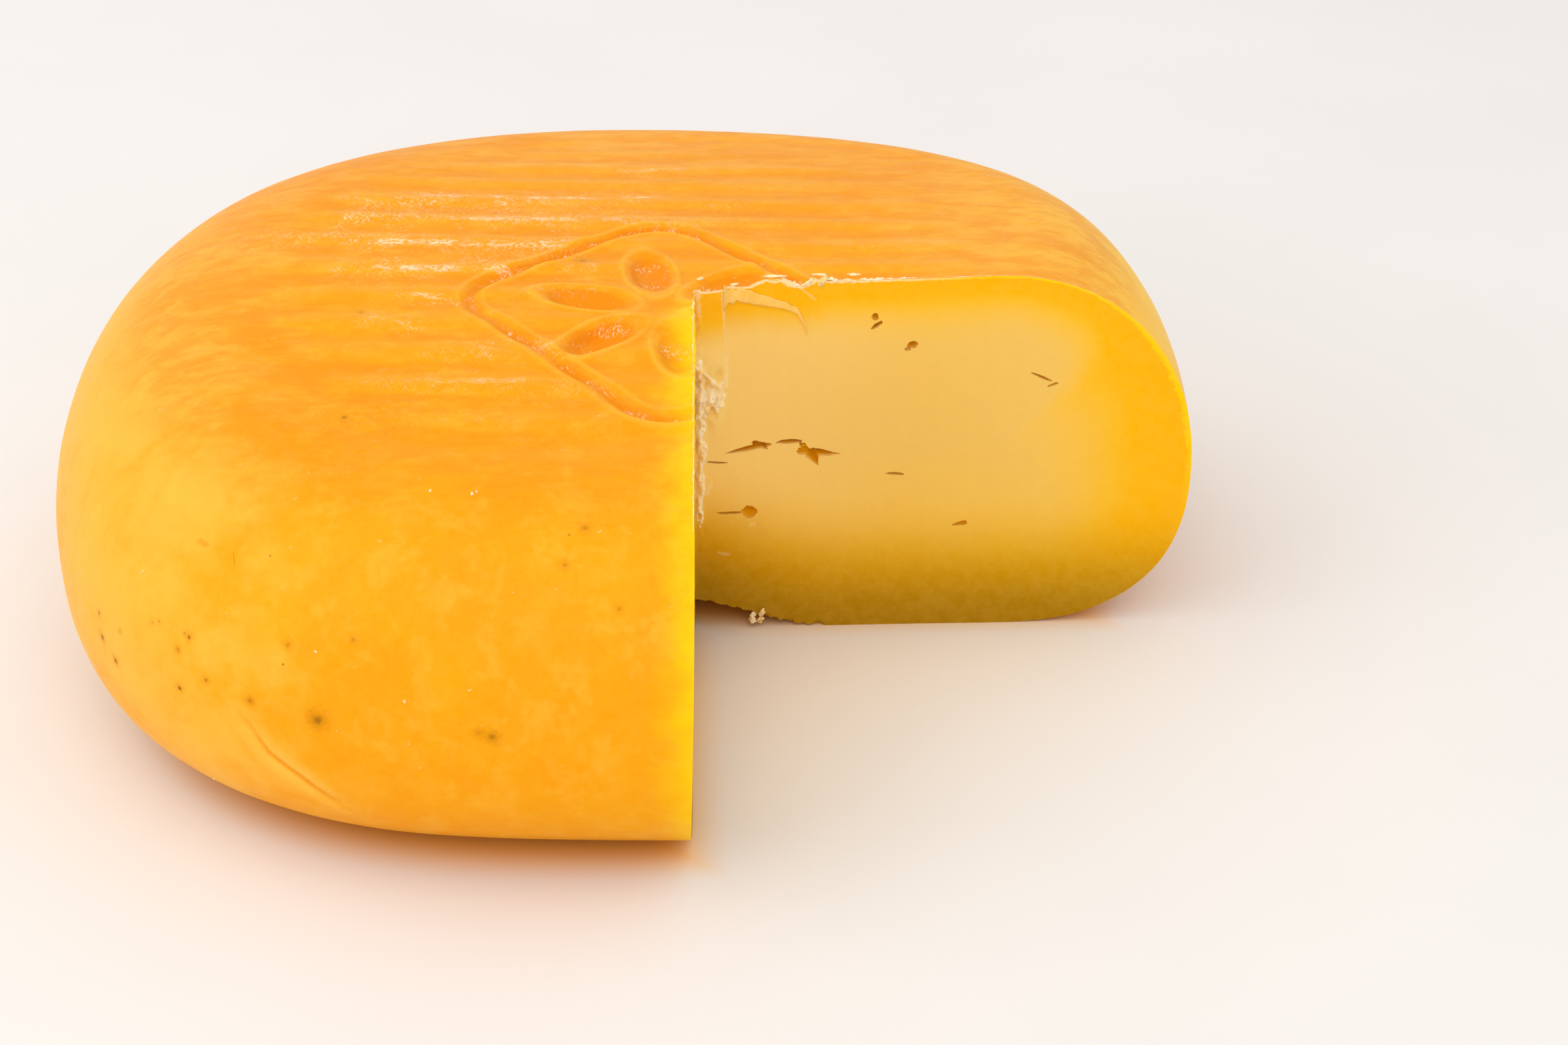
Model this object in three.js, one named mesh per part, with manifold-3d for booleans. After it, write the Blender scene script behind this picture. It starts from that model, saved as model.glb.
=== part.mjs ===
// A cheese wheel with a smooth waxed rind, and with a quarter cut out of it.
//
// Millimetres, +Z up. The wheel is shaped round its own upright axis. It is then stood on the floor,
// with the middle of its footprint at the origin. The missing quarter opens towards +X and -Y.

import * as THREE from 'three';
import { ParametricGeometry } from 'three/addons/geometries/ParametricGeometry.js';
import { mergeVertices } from 'three/addons/utils/BufferGeometryUtils.js';
import Module from 'manifold-3d';

const wasm = await Module();
wasm.setup();

const DEGREE = Math.PI / 180;

// ---- driving dimensions of the wheel

const WHEEL_RADIUS = 120;
const RIM_HEIGHT = 77.5; // where the nearly flat top turns down into the side
const DOME_RISE = 3.1; // how far the middle of the top stands above that rim
const WAIST_HEIGHT = 37.2; // where the side bulges out furthest
const TOP_SHARE = 0.641; // radius of the top, as a share of the wheel's
const BASE_SHARE = 0.652; // radius of the base, as a share of the wheel's
const SHOULDER_SQUARENESS = 2.07; // 2 is a plain ellipse, and more is boxier
const FOOT_SQUARENESS = 2.52;
const DISH_DEPTH = 9; // the underside is hollow in the middle
const DISH_RADIUS = 42;

// The wheel has slumped out of round. A wave is [lobes, cosine part, sine part] round the axis.
const PLAN_WAVES = [[2, 0.006, -0.005], [3, 0.003, -0.009], [4, -0.027, 0.006], [5, -0.001, 0.008]];
const TOP_SHARE_WAVES = [[1, 0.03, 0.051], [2, 0.005, 0.068]];
const RIM_WAVES = [[1, -0.1, 0.5], [2, 3.2, -1.9]]; // millimetres

// Straight low ridges cross the top, where the wheel lay on the slats of a shelf.
const RIDGE_PITCH = 12;
const RIDGE_HEIGHT = 0.8;
const RIDGE_TURN = -1.7 * DEGREE;
const RIDGE_OFFSET = 2.5; // of the crest that passes nearest to the axis
const RIDGE_REACH = [60, 76]; // the ridges fade out between these radii

// A sunk stamp: a frame line with round corners, and a rosette of petals inside it.
const STAMP_CENTRE = new THREE.Vector2(8, -20.5);
const STAMP_TURN = 40 * DEGREE;
const FRAME_HALF_WIDTH = 28.2;
const FRAME_HALF_LENGTH = 33.9;
const FRAME_CORNER_RADIUS = 11;
const FRAME_LINE_WIDTH = 3.6;
const FRAME_LINE_DEPTH = 0.9;
const PETALS = 6;
const PETAL_REACH = 16.5; // from the stamp's centre to a petal's centre
const PETAL_LENGTH = 20;
const PETAL_WIDTH = 9;
const PETAL_DEPTH = 1.5;
const PETAL_FULLNESS = 1.35; // the ellipsoid that leaves a petal is this much longer than the petal

// ---- driving dimensions of the cut

const CUT_CORNER = new THREE.Vector2(14, -9); // where the two cuts meet, near the axis
const CUT_TURN = 0.3 * DEGREE; // of the right-hand cut away from the X axis
const CUT_REACH = 160;

// The knife left a ledge standing in the corner, proud of the right-hand cut.
const LEDGE_WIDTH = 6.2;
const LEDGE_PROUD_AT_CORNER = 2.9;
const LEDGE_PROUD_AT_STEP = 1.3;
const LEDGE_FOOT_HEIGHT = 56; // below this it has torn away
const LEDGE_FULL_HEIGHT = 68; // above this it stands fully proud
const LEDGE_OVERLAP = 1; // how far it runs on behind both cut faces

// An eye is [distance from the corner, height, length, thickness, depth, tilt in degrees].
const RIGHT_CUT_EYES = [
  [36.7, 72, 1.5, 1.8, 3, 0],
  [36.9, 70, 2.4, 1.6, 4, 35],
  [44.3, 65.6, 2.6, 1.9, 4, 20],
  [71, 57.8, 5, 0.9, 3, -25],
  [11.5, 42.5, 9, 1.3, 6, 14],
  [20, 43.4, 6, 1, 5, -5],
  [24.6, 40.6, 7.2, 3, 6, -8],
  [4.1, 39.3, 6.4, 0.8, 3, -1],
  [10.5, 27.6, 3, 2.8, 5, 15],
  [6.8, 27.3, 5.6, 0.8, 3, 1],
  [41, 36, 3.8, 0.9, 3, -4],
  [55, 24, 3.2, 1.4, 3, 12],
];
const LEFT_CUT_EYES = [
  [12, 46, 15, 1.6, 6, 16],
  [51, 61, 5.6, 1.3, 4, -24],
  [57, 59.5, 3, 1.2, 3, -20],
  [62, 58, 1.8, 1.4, 3, 0],
  [69, 53, 2.4, 3.4, 4, -20],
  [54, 34, 5, 0.9, 3, 10],
  [59, 29, 5, 1.1, 3, -8],
  [38, 25, 2.6, 3, 4, 35],
  [47, 16, 4.4, 1, 3, 30],
  [90, 52, 1.6, 1.6, 3, 0],
];

// A thin tongue of paste is smeared over the top of the right-hand cut, from the ledge outwards.
// Its edges are given by root, bend, shoulder and tip, as [distance from the corner, height].
const SMEAR_THICKNESS = 0.6;
const SMEAR_LOWER_EDGE = [[6, 75.7], [18.5, 74.2], [21.6, 73.6], [22.6, 68]];
const SMEAR_UPPER_EDGE = [[6, 79.6], [18.5, 75.5], [22.4, 73.6], [23, 68]];

// Paste that tore as the knife came round the corner, under the ledge.
const TORN_LUMPS = 9;
const TORN_SIZE = [0.9, 1.7];
const TORN_SPREAD = [0.8, 5.2]; // distance from the corner
const TORN_HEIGHTS = [53, 63];

// Flakes that the knife pushed up along the top edge of the right-hand cut.
const FLAKE_SPREAD = [13, 29];
const FLAKE_PITCH = 3.2;
const FLAKE_SIZE = [0.7, 1.2];
const FLAKE_SINK = 0.4; // how far below the top the middle of a flake lies

// The rind is chipped along the lower edge of both cuts, where the hollow underside leaves it weak.
const CHIP_SPREAD = [2, 26];
const CHIP_PITCH = 3.4;
const CHIP_SIZE = [0.7, 1.5];

const CRUMB_SEED = 11;
const CRUMB_STRETCH = [0.8, 1.4];
const CRUMB_SINK = 0.2; // share of its size that a crumb's middle lies behind the cut face

// ---- how finely the skin is divided

const SLICES = 100; // round the axis
const UNDERSIDE_RINGS = 5;
const FOOT_RINGS = 6;
const SHOULDER_RINGS = 8;
const TOP_RINGS = 20;
const FRAME_LINE_STEPS = 36;
const PETAL_SEGMENTS = [14, 8];
const EYE_SEGMENTS = [8, 6];
const CURVE_SEGMENTS = 5;
const WELD_DISTANCE = 1e-3;

// ---- small helpers

function sumWaves(waves, azimuth) {
  let sum = 0;
  for (const [lobes, cosine, sine] of waves) {
    sum += cosine * Math.cos(lobes * azimuth) + sine * Math.sin(lobes * azimuth);
  }
  return sum;
}

// A number between two limits, by chance. The same numbers come on every run.
function drawBetween([low, high]) {
  return THREE.MathUtils.lerp(low, high, THREE.MathUtils.seededRandom());
}

// A closed geometry as a solid that can be joined and cut. Triangles with no area are dropped.
function solidOf(geometry) {
  geometry.deleteAttribute('normal');
  geometry.deleteAttribute('uv');
  const merged = mergeVertices(geometry, WELD_DISTANCE);
  const corners = merged.index.array;
  const kept = [];
  for (let i = 0; i < corners.length; i += 3) {
    const [a, b, c] = corners.slice(i, i + 3);
    if (a !== b && b !== c && c !== a) kept.push(a, b, c);
  }
  const mesh = new wasm.Mesh({
    numProp: 3,
    vertProperties: new Float32Array(merged.attributes.position.array),
    triVerts: new Uint32Array(kept),
  });
  return new wasm.Manifold(mesh);
}

function geometryOf(solid) {
  const mesh = solid.getMesh();
  const geometry = new THREE.BufferGeometry();
  geometry.setAttribute('position', new THREE.BufferAttribute(mesh.vertProperties, 3));
  geometry.setIndex(new THREE.BufferAttribute(mesh.triVerts, 1));
  return geometry;
}

// ---- the wheel's skin

const rimHeight = (azimuth) => RIM_HEIGHT + sumWaves(RIM_WAVES, azimuth);
const planRadius = (azimuth) => WHEEL_RADIUS * (1 + sumWaves(PLAN_WAVES, azimuth));
const topRadius = (azimuth) => planRadius(azimuth) * (TOP_SHARE + sumWaves(TOP_SHARE_WAVES, azimuth));
const baseRadius = (azimuth) => planRadius(azimuth) * BASE_SHARE;

function ridgeRelief(x, y) {
  const across = y * Math.cos(RIDGE_TURN) - x * Math.sin(RIDGE_TURN) - RIDGE_OFFSET;
  const fade = 1 - THREE.MathUtils.smoothstep(Math.hypot(x, y), ...RIDGE_REACH);
  return RIDGE_HEIGHT / 2 * fade * Math.cos(2 * Math.PI * across / RIDGE_PITCH);
}

// Height of the top above the floor. Past the top's own edge it goes on as the same shallow dome.
function topHeight(x, y) {
  const azimuth = Math.atan2(y, x);
  const share = Math.hypot(x, y) / topRadius(azimuth);
  const middle = RIM_HEIGHT + DOME_RISE;
  return middle + (rimHeight(azimuth) - middle) * share ** 2 + ridgeRelief(x, y);
}

function dishHeight(radius) {
  const share = Math.min(radius / DISH_RADIUS, 1);
  return DISH_DEPTH * (1 - share ** 2) ** 2;
}

// Each stretch of the profile gives [radius, height] at a share of its own length.
function underside(share, azimuth) {
  const radius = baseRadius(azimuth) * share;
  return [radius, dishHeight(radius)];
}

function foot(share, azimuth) {
  const angle = (1 - share) * Math.PI / 2;
  const power = 2 / FOOT_SQUARENESS;
  const overhang = planRadius(azimuth) - baseRadius(azimuth);
  const radius = baseRadius(azimuth) + overhang * Math.cos(angle) ** power;
  return [radius, WAIST_HEIGHT * (1 - Math.sin(angle) ** power)];
}

function shoulder(share, azimuth) {
  const angle = (1 - share) * Math.PI / 2;
  const power = 2 / SHOULDER_SQUARENESS;
  const overhang = planRadius(azimuth) - topRadius(azimuth);
  const radius = topRadius(azimuth) + overhang * Math.sin(angle) ** power;
  return [radius, WAIST_HEIGHT + (rimHeight(azimuth) - WAIST_HEIGHT) * Math.cos(angle) ** power];
}

function top(share, azimuth) {
  const radius = topRadius(azimuth) * (1 - share);
  return [radius, topHeight(radius * Math.cos(azimuth), radius * Math.sin(azimuth))];
}

const PROFILE = [
  { rings: UNDERSIDE_RINGS, place: underside },
  { rings: FOOT_RINGS, place: foot },
  { rings: SHOULDER_RINGS, place: shoulder },
  { rings: TOP_RINGS, place: top },
];
const RINGS = PROFILE.reduce((sum, stretch) => sum + stretch.rings, 0);

// From the middle of the underside, up the side, to the middle of the top.
function profilePoint(along, azimuth) {
  let ring = THREE.MathUtils.clamp(along, 0, 1) * RINGS;
  for (const stretch of PROFILE) {
    if (ring <= stretch.rings) return stretch.place(ring / stretch.rings, azimuth);
    ring -= stretch.rings;
  }
  return top(1, azimuth);
}

function makeSkin() {
  const place = (u, v, target) => {
    const azimuth = 2 * Math.PI * (u % 1);
    const [radius, height] = profilePoint(v, azimuth);
    target.set(radius * Math.cos(azimuth), radius * Math.sin(azimuth), height);
  };
  return solidOf(new ParametricGeometry(place, SLICES, RINGS));
}

// ---- the stamp

// A point of the stamp, given in its own turned frame, as a place on the wheel's top.
function onStamp(u, v) {
  const spot = new THREE.Vector2(u, v).rotateAround(new THREE.Vector2(), STAMP_TURN).add(STAMP_CENTRE);
  return new THREE.Vector3(spot.x, spot.y, topHeight(spot.x, spot.y));
}

// The frame line starts and ends inside the missing quarter, so it needs no closed loop.
function makeFrameLine() {
  const outline = new THREE.Path();
  const w = FRAME_HALF_WIDTH;
  const l = FRAME_HALF_LENGTH;
  const r = FRAME_CORNER_RADIUS;
  outline.moveTo(w, -l / 2);
  outline.lineTo(w, l - r);
  outline.absarc(w - r, l - r, r, 0, Math.PI / 2);
  outline.lineTo(r - w, l);
  outline.absarc(r - w, l - r, r, Math.PI / 2, Math.PI);
  outline.lineTo(-w, r - l);
  outline.absarc(r - w, r - l, r, Math.PI, 1.5 * Math.PI);
  outline.lineTo(0, -l);

  // A round bar that sinks into the top by the line's depth has the line's width at the surface.
  const barRadius = (FRAME_LINE_WIDTH ** 2 / 4 + FRAME_LINE_DEPTH ** 2) / (2 * FRAME_LINE_DEPTH);
  const lift = new THREE.Vector3(0, 0, barRadius - FRAME_LINE_DEPTH);
  const stations = outline.getSpacedPoints(FRAME_LINE_STEPS).map((p) => onStamp(p.x, p.y).add(lift));
  const section = new THREE.Shape();
  section.absarc(0, 0, barRadius, 0, 2 * Math.PI);
  return solidOf(new THREE.ExtrudeGeometry(section, {
    extrudePath: new THREE.CatmullRomCurve3(stations),
    steps: FRAME_LINE_STEPS,
    curveSegments: CURVE_SEGMENTS,
  }));
}

function makePetal(index) {
  const direction = index * 2 * Math.PI / PETALS;
  const centre = onStamp(PETAL_REACH * Math.cos(direction), PETAL_REACH * Math.sin(direction));
  const petal = new THREE.SphereGeometry(1, ...PETAL_SEGMENTS);
  petal.rotateX(Math.PI / 2);
  // The lens that dips below the surface is the lowest slice of a larger ellipsoid.
  const lift = Math.sqrt(1 - 1 / PETAL_FULLNESS ** 2);
  const halfHeight = PETAL_DEPTH / (1 - lift);
  petal.scale(PETAL_LENGTH / 2 * PETAL_FULLNESS, PETAL_WIDTH / 2 * PETAL_FULLNESS, halfHeight);
  petal.rotateZ(STAMP_TURN + direction);
  petal.translate(centre.x, centre.y, centre.z + halfHeight * lift);
  return solidOf(petal);
}

// ---- the two cut faces

// On a face, x runs out from the corner, z is up, and inward is the sign of y inside the cheese.
const RIGHT_CUT = { turn: CUT_TURN, inward: 1 };
const LEFT_CUT = { turn: -Math.PI / 2, inward: -1 };

function placeOnCut(geometry, cut) {
  return geometry.rotateZ(cut.turn).translate(CUT_CORNER.x, CUT_CORNER.y, 0);
}

// Where on the floor plan a spot on a cut face stands, measured from the wheel's axis.
function spotOnCut(cut, along) {
  return new THREE.Vector2(along, 0).rotateAround(new THREE.Vector2(), cut.turn).add(CUT_CORNER);
}

function makeLedge() {
  const plan = new THREE.Shape();
  plan.moveTo(-LEDGE_OVERLAP, LEDGE_OVERLAP);
  plan.lineTo(-LEDGE_OVERLAP, -LEDGE_PROUD_AT_CORNER);
  plan.lineTo(0, -LEDGE_PROUD_AT_CORNER);
  plan.lineTo(LEDGE_WIDTH, -LEDGE_PROUD_AT_STEP);
  plan.lineTo(LEDGE_WIDTH, LEDGE_OVERLAP);
  const column = new THREE.ExtrudeGeometry(plan, { depth: 2, steps: 2, bevelEnabled: false });
  const heights = [LEDGE_FOOT_HEIGHT, LEDGE_FULL_HEIGHT, RIM_HEIGHT + 2 * DOME_RISE];
  const spots = column.attributes.position;
  for (let i = 0; i < spots.count; i++) {
    const level = Math.round(spots.getZ(i));
    // At its foot the ledge has sunk back behind the cut face.
    if (level === 0) spots.setY(i, Math.max(spots.getY(i), LEDGE_OVERLAP / 2));
    spots.setZ(i, heights[level]);
  }
  return solidOf(placeOnCut(column, RIGHT_CUT));
}

function makeMissingQuarter() {
  const tall = RIM_HEIGHT * 2;
  const plan = new THREE.Shape();
  plan.moveTo(0, 0);
  plan.lineTo(0, -CUT_REACH);
  plan.lineTo(CUT_REACH, -CUT_REACH);
  plan.lineTo(CUT_REACH, CUT_REACH * Math.tan(CUT_TURN));
  const prism = new THREE.ExtrudeGeometry(plan, { depth: tall, bevelEnabled: false });
  prism.translate(CUT_CORNER.x, CUT_CORNER.y, -RIM_HEIGHT / 2);
  return solidOf(prism).subtract(makeLedge());
}

function makeEye(cut, [along, height, length, thickness, depth, tilt]) {
  const eye = new THREE.SphereGeometry(1, ...EYE_SEGMENTS);
  eye.scale(length / 2, depth, thickness / 2);
  eye.rotateY(-tilt * DEGREE);
  eye.translate(along, 0, height);
  return solidOf(placeOnCut(eye, cut));
}

function makeSmear() {
  const [lowRoot, lowBend, lowShoulder, lowTip] = SMEAR_LOWER_EDGE;
  const [highRoot, highBend, highShoulder, highTip] = SMEAR_UPPER_EDGE;
  const outline = new THREE.Shape();
  outline.moveTo(...lowRoot);
  outline.lineTo(...lowBend);
  outline.quadraticCurveTo(...lowShoulder, ...lowTip);
  outline.lineTo(...highTip);
  outline.quadraticCurveTo(...highShoulder, ...highBend);
  outline.lineTo(...highRoot);
  const smear = new THREE.ExtrudeGeometry(outline, {
    depth: 2 * SMEAR_THICKNESS,
    bevelEnabled: false,
    curveSegments: CURVE_SEGMENTS,
  });
  smear.translate(0, 0, -SMEAR_THICKNESS);
  smear.rotateX(Math.PI / 2);
  return solidOf(placeOnCut(smear, RIGHT_CUT));
}

// A small uneven lump, half in and half out of a cut face.
function makeCrumb(cut, along, height, size) {
  const crumb = new THREE.IcosahedronGeometry(size, 0);
  crumb.rotateX(drawBetween([0, Math.PI]));
  crumb.rotateY(drawBetween([0, Math.PI]));
  crumb.scale(drawBetween(CRUMB_STRETCH), CRUMB_STRETCH[0], drawBetween(CRUMB_STRETCH));
  crumb.translate(along, CRUMB_SINK * size * cut.inward, height);
  return solidOf(placeOnCut(crumb, cut));
}

function makeTornPaste() {
  const lumps = [];
  while (lumps.length < TORN_LUMPS) {
    const along = drawBetween(TORN_SPREAD);
    const height = drawBetween(TORN_HEIGHTS);
    lumps.push(makeCrumb(RIGHT_CUT, along, height, drawBetween(TORN_SIZE)));
  }
  return lumps;
}

// Crumbs along an edge of a cut, one to each pitch. heightAt gives the edge's height.
function lineWithCrumbs(cut, [start, end], pitch, size, heightAt) {
  const crumbs = [];
  for (let mark = start; mark < end; mark += pitch) {
    const along = mark + drawBetween([0, 1]);
    const spot = spotOnCut(cut, along);
    crumbs.push(makeCrumb(cut, along, heightAt(spot), drawBetween(size)));
  }
  return crumbs;
}

function makeEdgeFlakes() {
  const heightAt = (spot) => topHeight(spot.x, spot.y) - FLAKE_SINK;
  return lineWithCrumbs(RIGHT_CUT, FLAKE_SPREAD, FLAKE_PITCH, FLAKE_SIZE, heightAt);
}

function makeChips(cut) {
  const heightAt = (spot) => dishHeight(spot.length());
  return lineWithCrumbs(cut, CHIP_SPREAD, CHIP_PITCH, CHIP_SIZE, heightAt);
}

// ---- the whole wheel

function makeWheel() {
  THREE.MathUtils.seededRandom(CRUMB_SEED);
  const carved = [
    makeFrameLine(),
    ...Array.from({ length: PETALS }, (_, index) => makePetal(index)),
    makeMissingQuarter(),
    ...RIGHT_CUT_EYES.map((eye) => makeEye(RIGHT_CUT, eye)),
    ...LEFT_CUT_EYES.map((eye) => makeEye(LEFT_CUT, eye)),
    ...makeChips(RIGHT_CUT),
    ...makeChips(LEFT_CUT),
  ];
  const joined = [makeSmear(), ...makeTornPaste(), ...makeEdgeFlakes()];
  let wheel = makeSkin();
  for (const tool of carved) wheel = wheel.subtract(tool);
  for (const piece of joined) wheel = wheel.add(piece);
  return wheel;
}

// Stands the wheel on the floor, with the middle of its footprint at the origin.
function standOnFloor(geometry) {
  geometry.computeBoundingBox();
  const { min, max } = geometry.boundingBox;
  return geometry.translate(-(min.x + max.x) / 2, -(min.y + max.y) / 2, -min.z);
}

const rindMaterial = new THREE.MeshStandardMaterial({ color: 0xfbb02a, roughness: 0.5, metalness: 0 });
const wheel = new THREE.Mesh(standOnFloor(geometryOf(makeWheel())), rindMaterial);
wheel.name = 'cheese_wheel';

const cheese = new THREE.Group();
cheese.add(wheel);

export default cheese;
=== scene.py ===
# %% [markdown]
# # A cut wheel of farmhouse cheese
#
# The wheel is a thick flat round of semi-hard cheese under a smooth orange coat. A quarter has been
# cut out of it, so both cuts show the pale paste with its small eyes and slits. The CAD model
# fixes the size and the place of the wheel. This lesson builds the wheel again inside that size,
# with everything a plain solid leaves out: shelf marks, a pressed stamp, scars of the knife, torn
# paste, crumbs, and the colours of coat and paste.

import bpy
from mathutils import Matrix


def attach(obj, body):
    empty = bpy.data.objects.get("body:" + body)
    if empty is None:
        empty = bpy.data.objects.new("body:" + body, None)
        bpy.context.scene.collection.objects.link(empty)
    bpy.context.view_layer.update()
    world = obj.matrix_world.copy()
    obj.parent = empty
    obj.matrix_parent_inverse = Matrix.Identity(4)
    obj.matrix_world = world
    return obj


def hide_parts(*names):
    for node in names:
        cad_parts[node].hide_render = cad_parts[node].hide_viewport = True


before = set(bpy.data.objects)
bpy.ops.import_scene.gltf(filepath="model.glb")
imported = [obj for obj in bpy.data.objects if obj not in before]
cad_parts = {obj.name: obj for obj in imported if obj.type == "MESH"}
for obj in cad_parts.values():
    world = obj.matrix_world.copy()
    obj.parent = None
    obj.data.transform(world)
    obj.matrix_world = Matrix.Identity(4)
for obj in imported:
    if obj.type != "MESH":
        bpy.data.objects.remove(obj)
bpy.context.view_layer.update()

# %% [markdown]
# Lengths are in metres, and MM turns millimetres into them. The wheel is shaped round its own
# upright axis, which stands a little off the middle of its footprint because the wheel has
# slumped out of round. The two cuts of the missing quarter meet in CORNER.

# %% Tools and units
import math
import random

import bmesh
import bpy
from mathutils import Matrix, Vector, noise
from mathutils.bvhtree import BVHTree

MM = 0.001
AXIS = Vector((-0.27, -2.07, 0)) * MM
CORNER = AXIS + Vector((14, -9, 0)) * MM
TURN = 2 * math.pi
WELD = 0.001 * MM


def smoothstep(value, start, end):
    share = min(max((value - start) / (end - start), 0), 1)
    return share * share * (3 - 2 * share)


def mix(low, high, share):
    return low + (high - low) * share


def bell(value):
    return math.exp(-(value**2))


def noise_at(x, y, z):
    return noise.noise(Vector((x, y, z)))


# %% [markdown]
# ## The camera
#
# Food is best seen from a little above through a long lens, so that the far side of the wheel
# isn't much smaller than the near side. There is room to the right, where a slice would lie.

# %% Make the camera
CAMERA_PLACE = (0.012694, -0.657076, 0.368948)
LENS_MM = 80.354
LOOKS_DOWN = math.radians(28.023)
LOOKS_RIGHT = math.radians(1.698)

scene = bpy.context.scene
camera_data = bpy.data.cameras.new("camera")
camera_data.sensor_fit = "HORIZONTAL"
camera_data.sensor_width = 36
camera_data.lens = LENS_MM
camera = bpy.data.objects.new("camera", camera_data)
camera.location = CAMERA_PLACE
camera.rotation_euler = (math.pi / 2 - LOOKS_DOWN, 0, -LOOKS_RIGHT)
scene.collection.objects.link(camera)
scene.camera = camera
print("camera at", CAMERA_PLACE, "with a lens of", LENS_MM, "mm")

# %% [markdown]
# ## The stage
#
# The floor is plain and nearly white. The wheel is lit as on a light table: a bright even
# surround fills every shadow, so only a narrow soft one is left where the wheel meets the floor.
# Four large soft lamps give the rest of the shape: one high in front, one overhead and two on the
# left. The colour transform is the plain one, because the filmic ones would wash out a strong
# orange.

# %% Light the stage
SURROUND_COLOUR = (1, 0.975, 0.955, 1)
SURROUND_STRENGTH = 0.885
LAMP_WHITE = (1, 0.975, 0.95)
# (name, place, point it shines at, size, power)
LAMPS = (
    ("front_lamp", (0.2, -1.6, 1.3), (0, 0, 0.03), 1.2, 5.7),
    ("overhead_lamp", (-0.3, -0.3, 1.0), (0, 0, 0.04), 0.7, 1.0),
    ("low_left_lamp", (-1.0, -0.7, 0.6), (0, 0, 0.04), 0.8, 2.6),
    ("high_left_lamp", (-0.9, 0.1, 1.0), (0, 0, 0.04), 0.8, 1.8),
)

scene.view_settings.view_transform = "Standard"
scene.world = bpy.data.worlds.new("surround")
scene.world.use_nodes = True
surround = scene.world.node_tree.nodes["Background"].inputs
surround["Color"].default_value = SURROUND_COLOUR
surround["Strength"].default_value = SURROUND_STRENGTH
for name, place, target, size, power in LAMPS:
    lamp_data = bpy.data.lights.new(name, "AREA")
    lamp_data.size = size
    lamp_data.energy = power
    lamp_data.color = LAMP_WHITE
    lamp = bpy.data.objects.new(name, lamp_data)
    lamp.location = place
    lamp.rotation_euler = (Vector(target) - Vector(place)).to_track_quat("-Z", "Y").to_euler()
    scene.collection.objects.link(lamp)
print(len(LAMPS), "lamps")

# %% [markdown]
# Every piece is shaped as a bmesh, its faces are turned outwards, and it is kept as an object at
# the origin. The operator that turns the faces trusts their normals, so these are renewed first.


# %% Helpers for meshes
def face_outwards(bm):
    bm.normal_update()
    bmesh.ops.recalc_face_normals(bm, faces=bm.faces)


def piece_from(bm, name, *materials):
    mesh = bpy.data.meshes.new(name)
    bm.to_mesh(mesh)
    bm.free()
    mesh.shade_smooth()
    for material in materials:
        mesh.materials.append(material)
    piece = bpy.data.objects.new(name, mesh)
    scene.collection.objects.link(piece)
    return piece


# %% [markdown]
# Every finish is a small tree of nodes. An input of a node is either a plain value or the output
# of another node, which is then linked. A helper works in the tree of the output it is given.


# %% Helpers for nodes
def set_inputs(node, inputs):
    for name, value in dict(inputs).items():
        if isinstance(value, bpy.types.NodeSocket):
            node.id_data.links.new(value, node.inputs[name])
        else:
            node.inputs[name].default_value = value


def add_node(tree, kind, settings=(), inputs=()):
    node = tree.nodes.new("ShaderNode" + kind)
    for name, value in dict(settings).items():
        setattr(node, name, value)
    set_inputs(node, inputs)
    return node


def calculate(operation, first, *others):
    """Joins any number of values by one operation, from left to right."""
    for other in others:
        socket = first if isinstance(first, bpy.types.NodeSocket) else other
        inputs = {0: first, 1: other}
        first = add_node(socket.id_data, "Math", {"operation": operation}, inputs).outputs[0]
    return first


def plus(*values):
    return calculate("ADD", *values)


def minus(first, second):
    return calculate("SUBTRACT", first, second)


def times(*values):
    return calculate("MULTIPLY", *values)


def highest(*values):
    return calculate("MAXIMUM", *values)


def remap(value, start, end, low=0.0, high=1.0):
    limits = {"Value": value, "From Min": start, "From Max": end, "To Min": low, "To Max": high}
    smooth = {"interpolation_type": "SMOOTHSTEP"}
    return add_node(value.id_data, "MapRange", smooth, limits).outputs[0]


def mix_colours(share, low, high):
    inputs = {0: share, 6: low, 7: high}
    return add_node(share.id_data, "Mix", {"data_type": "RGBA"}, inputs).outputs[2]


def layer(ground, colour, *masks):
    """Lays a colour over the ground, where all of the masks let it through."""
    return mix_colours(times(*masks), ground, colour)


def noise_node(vector, scale, detail=3.0, roughness=0.5, distortion=0.0):
    inputs = {"Vector": vector, "Scale": scale, "Detail": detail, "Roughness": roughness}
    inputs["Distortion"] = distortion
    return add_node(vector.id_data, "TexNoise", (), inputs).outputs["Fac"]


def bump_node(height, strength, distance):
    inputs = {"Height": height, "Strength": strength, "Distance": distance}
    return add_node(height.id_data, "Bump", (), inputs).outputs[0]


def axes(vector):
    return add_node(vector.id_data, "SeparateXYZ", (), {0: vector}).outputs


def open_material(material):
    """The tree of a material, its shader, and the place of the shaded point in the object."""
    material.use_nodes = True
    tree = material.node_tree
    where = add_node(tree, "TexCoord").outputs["Object"]
    return tree, tree.nodes["Principled BSDF"], where


# %% [markdown]
# The floor is a painted board. It is larger than any view takes in, and a very faint
# unevenness of the paint keeps it from looking like cut paper.
#
# Light that has passed through the cheese falls on the floor as a narrow orange glow inside the
# shadow. Tracing it through the cheese would be slow and noisy, so the floor takes the tint from
# a mask: the distance from the wheel's foot, whose plan is a soft square, or from the two cuts.

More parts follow.
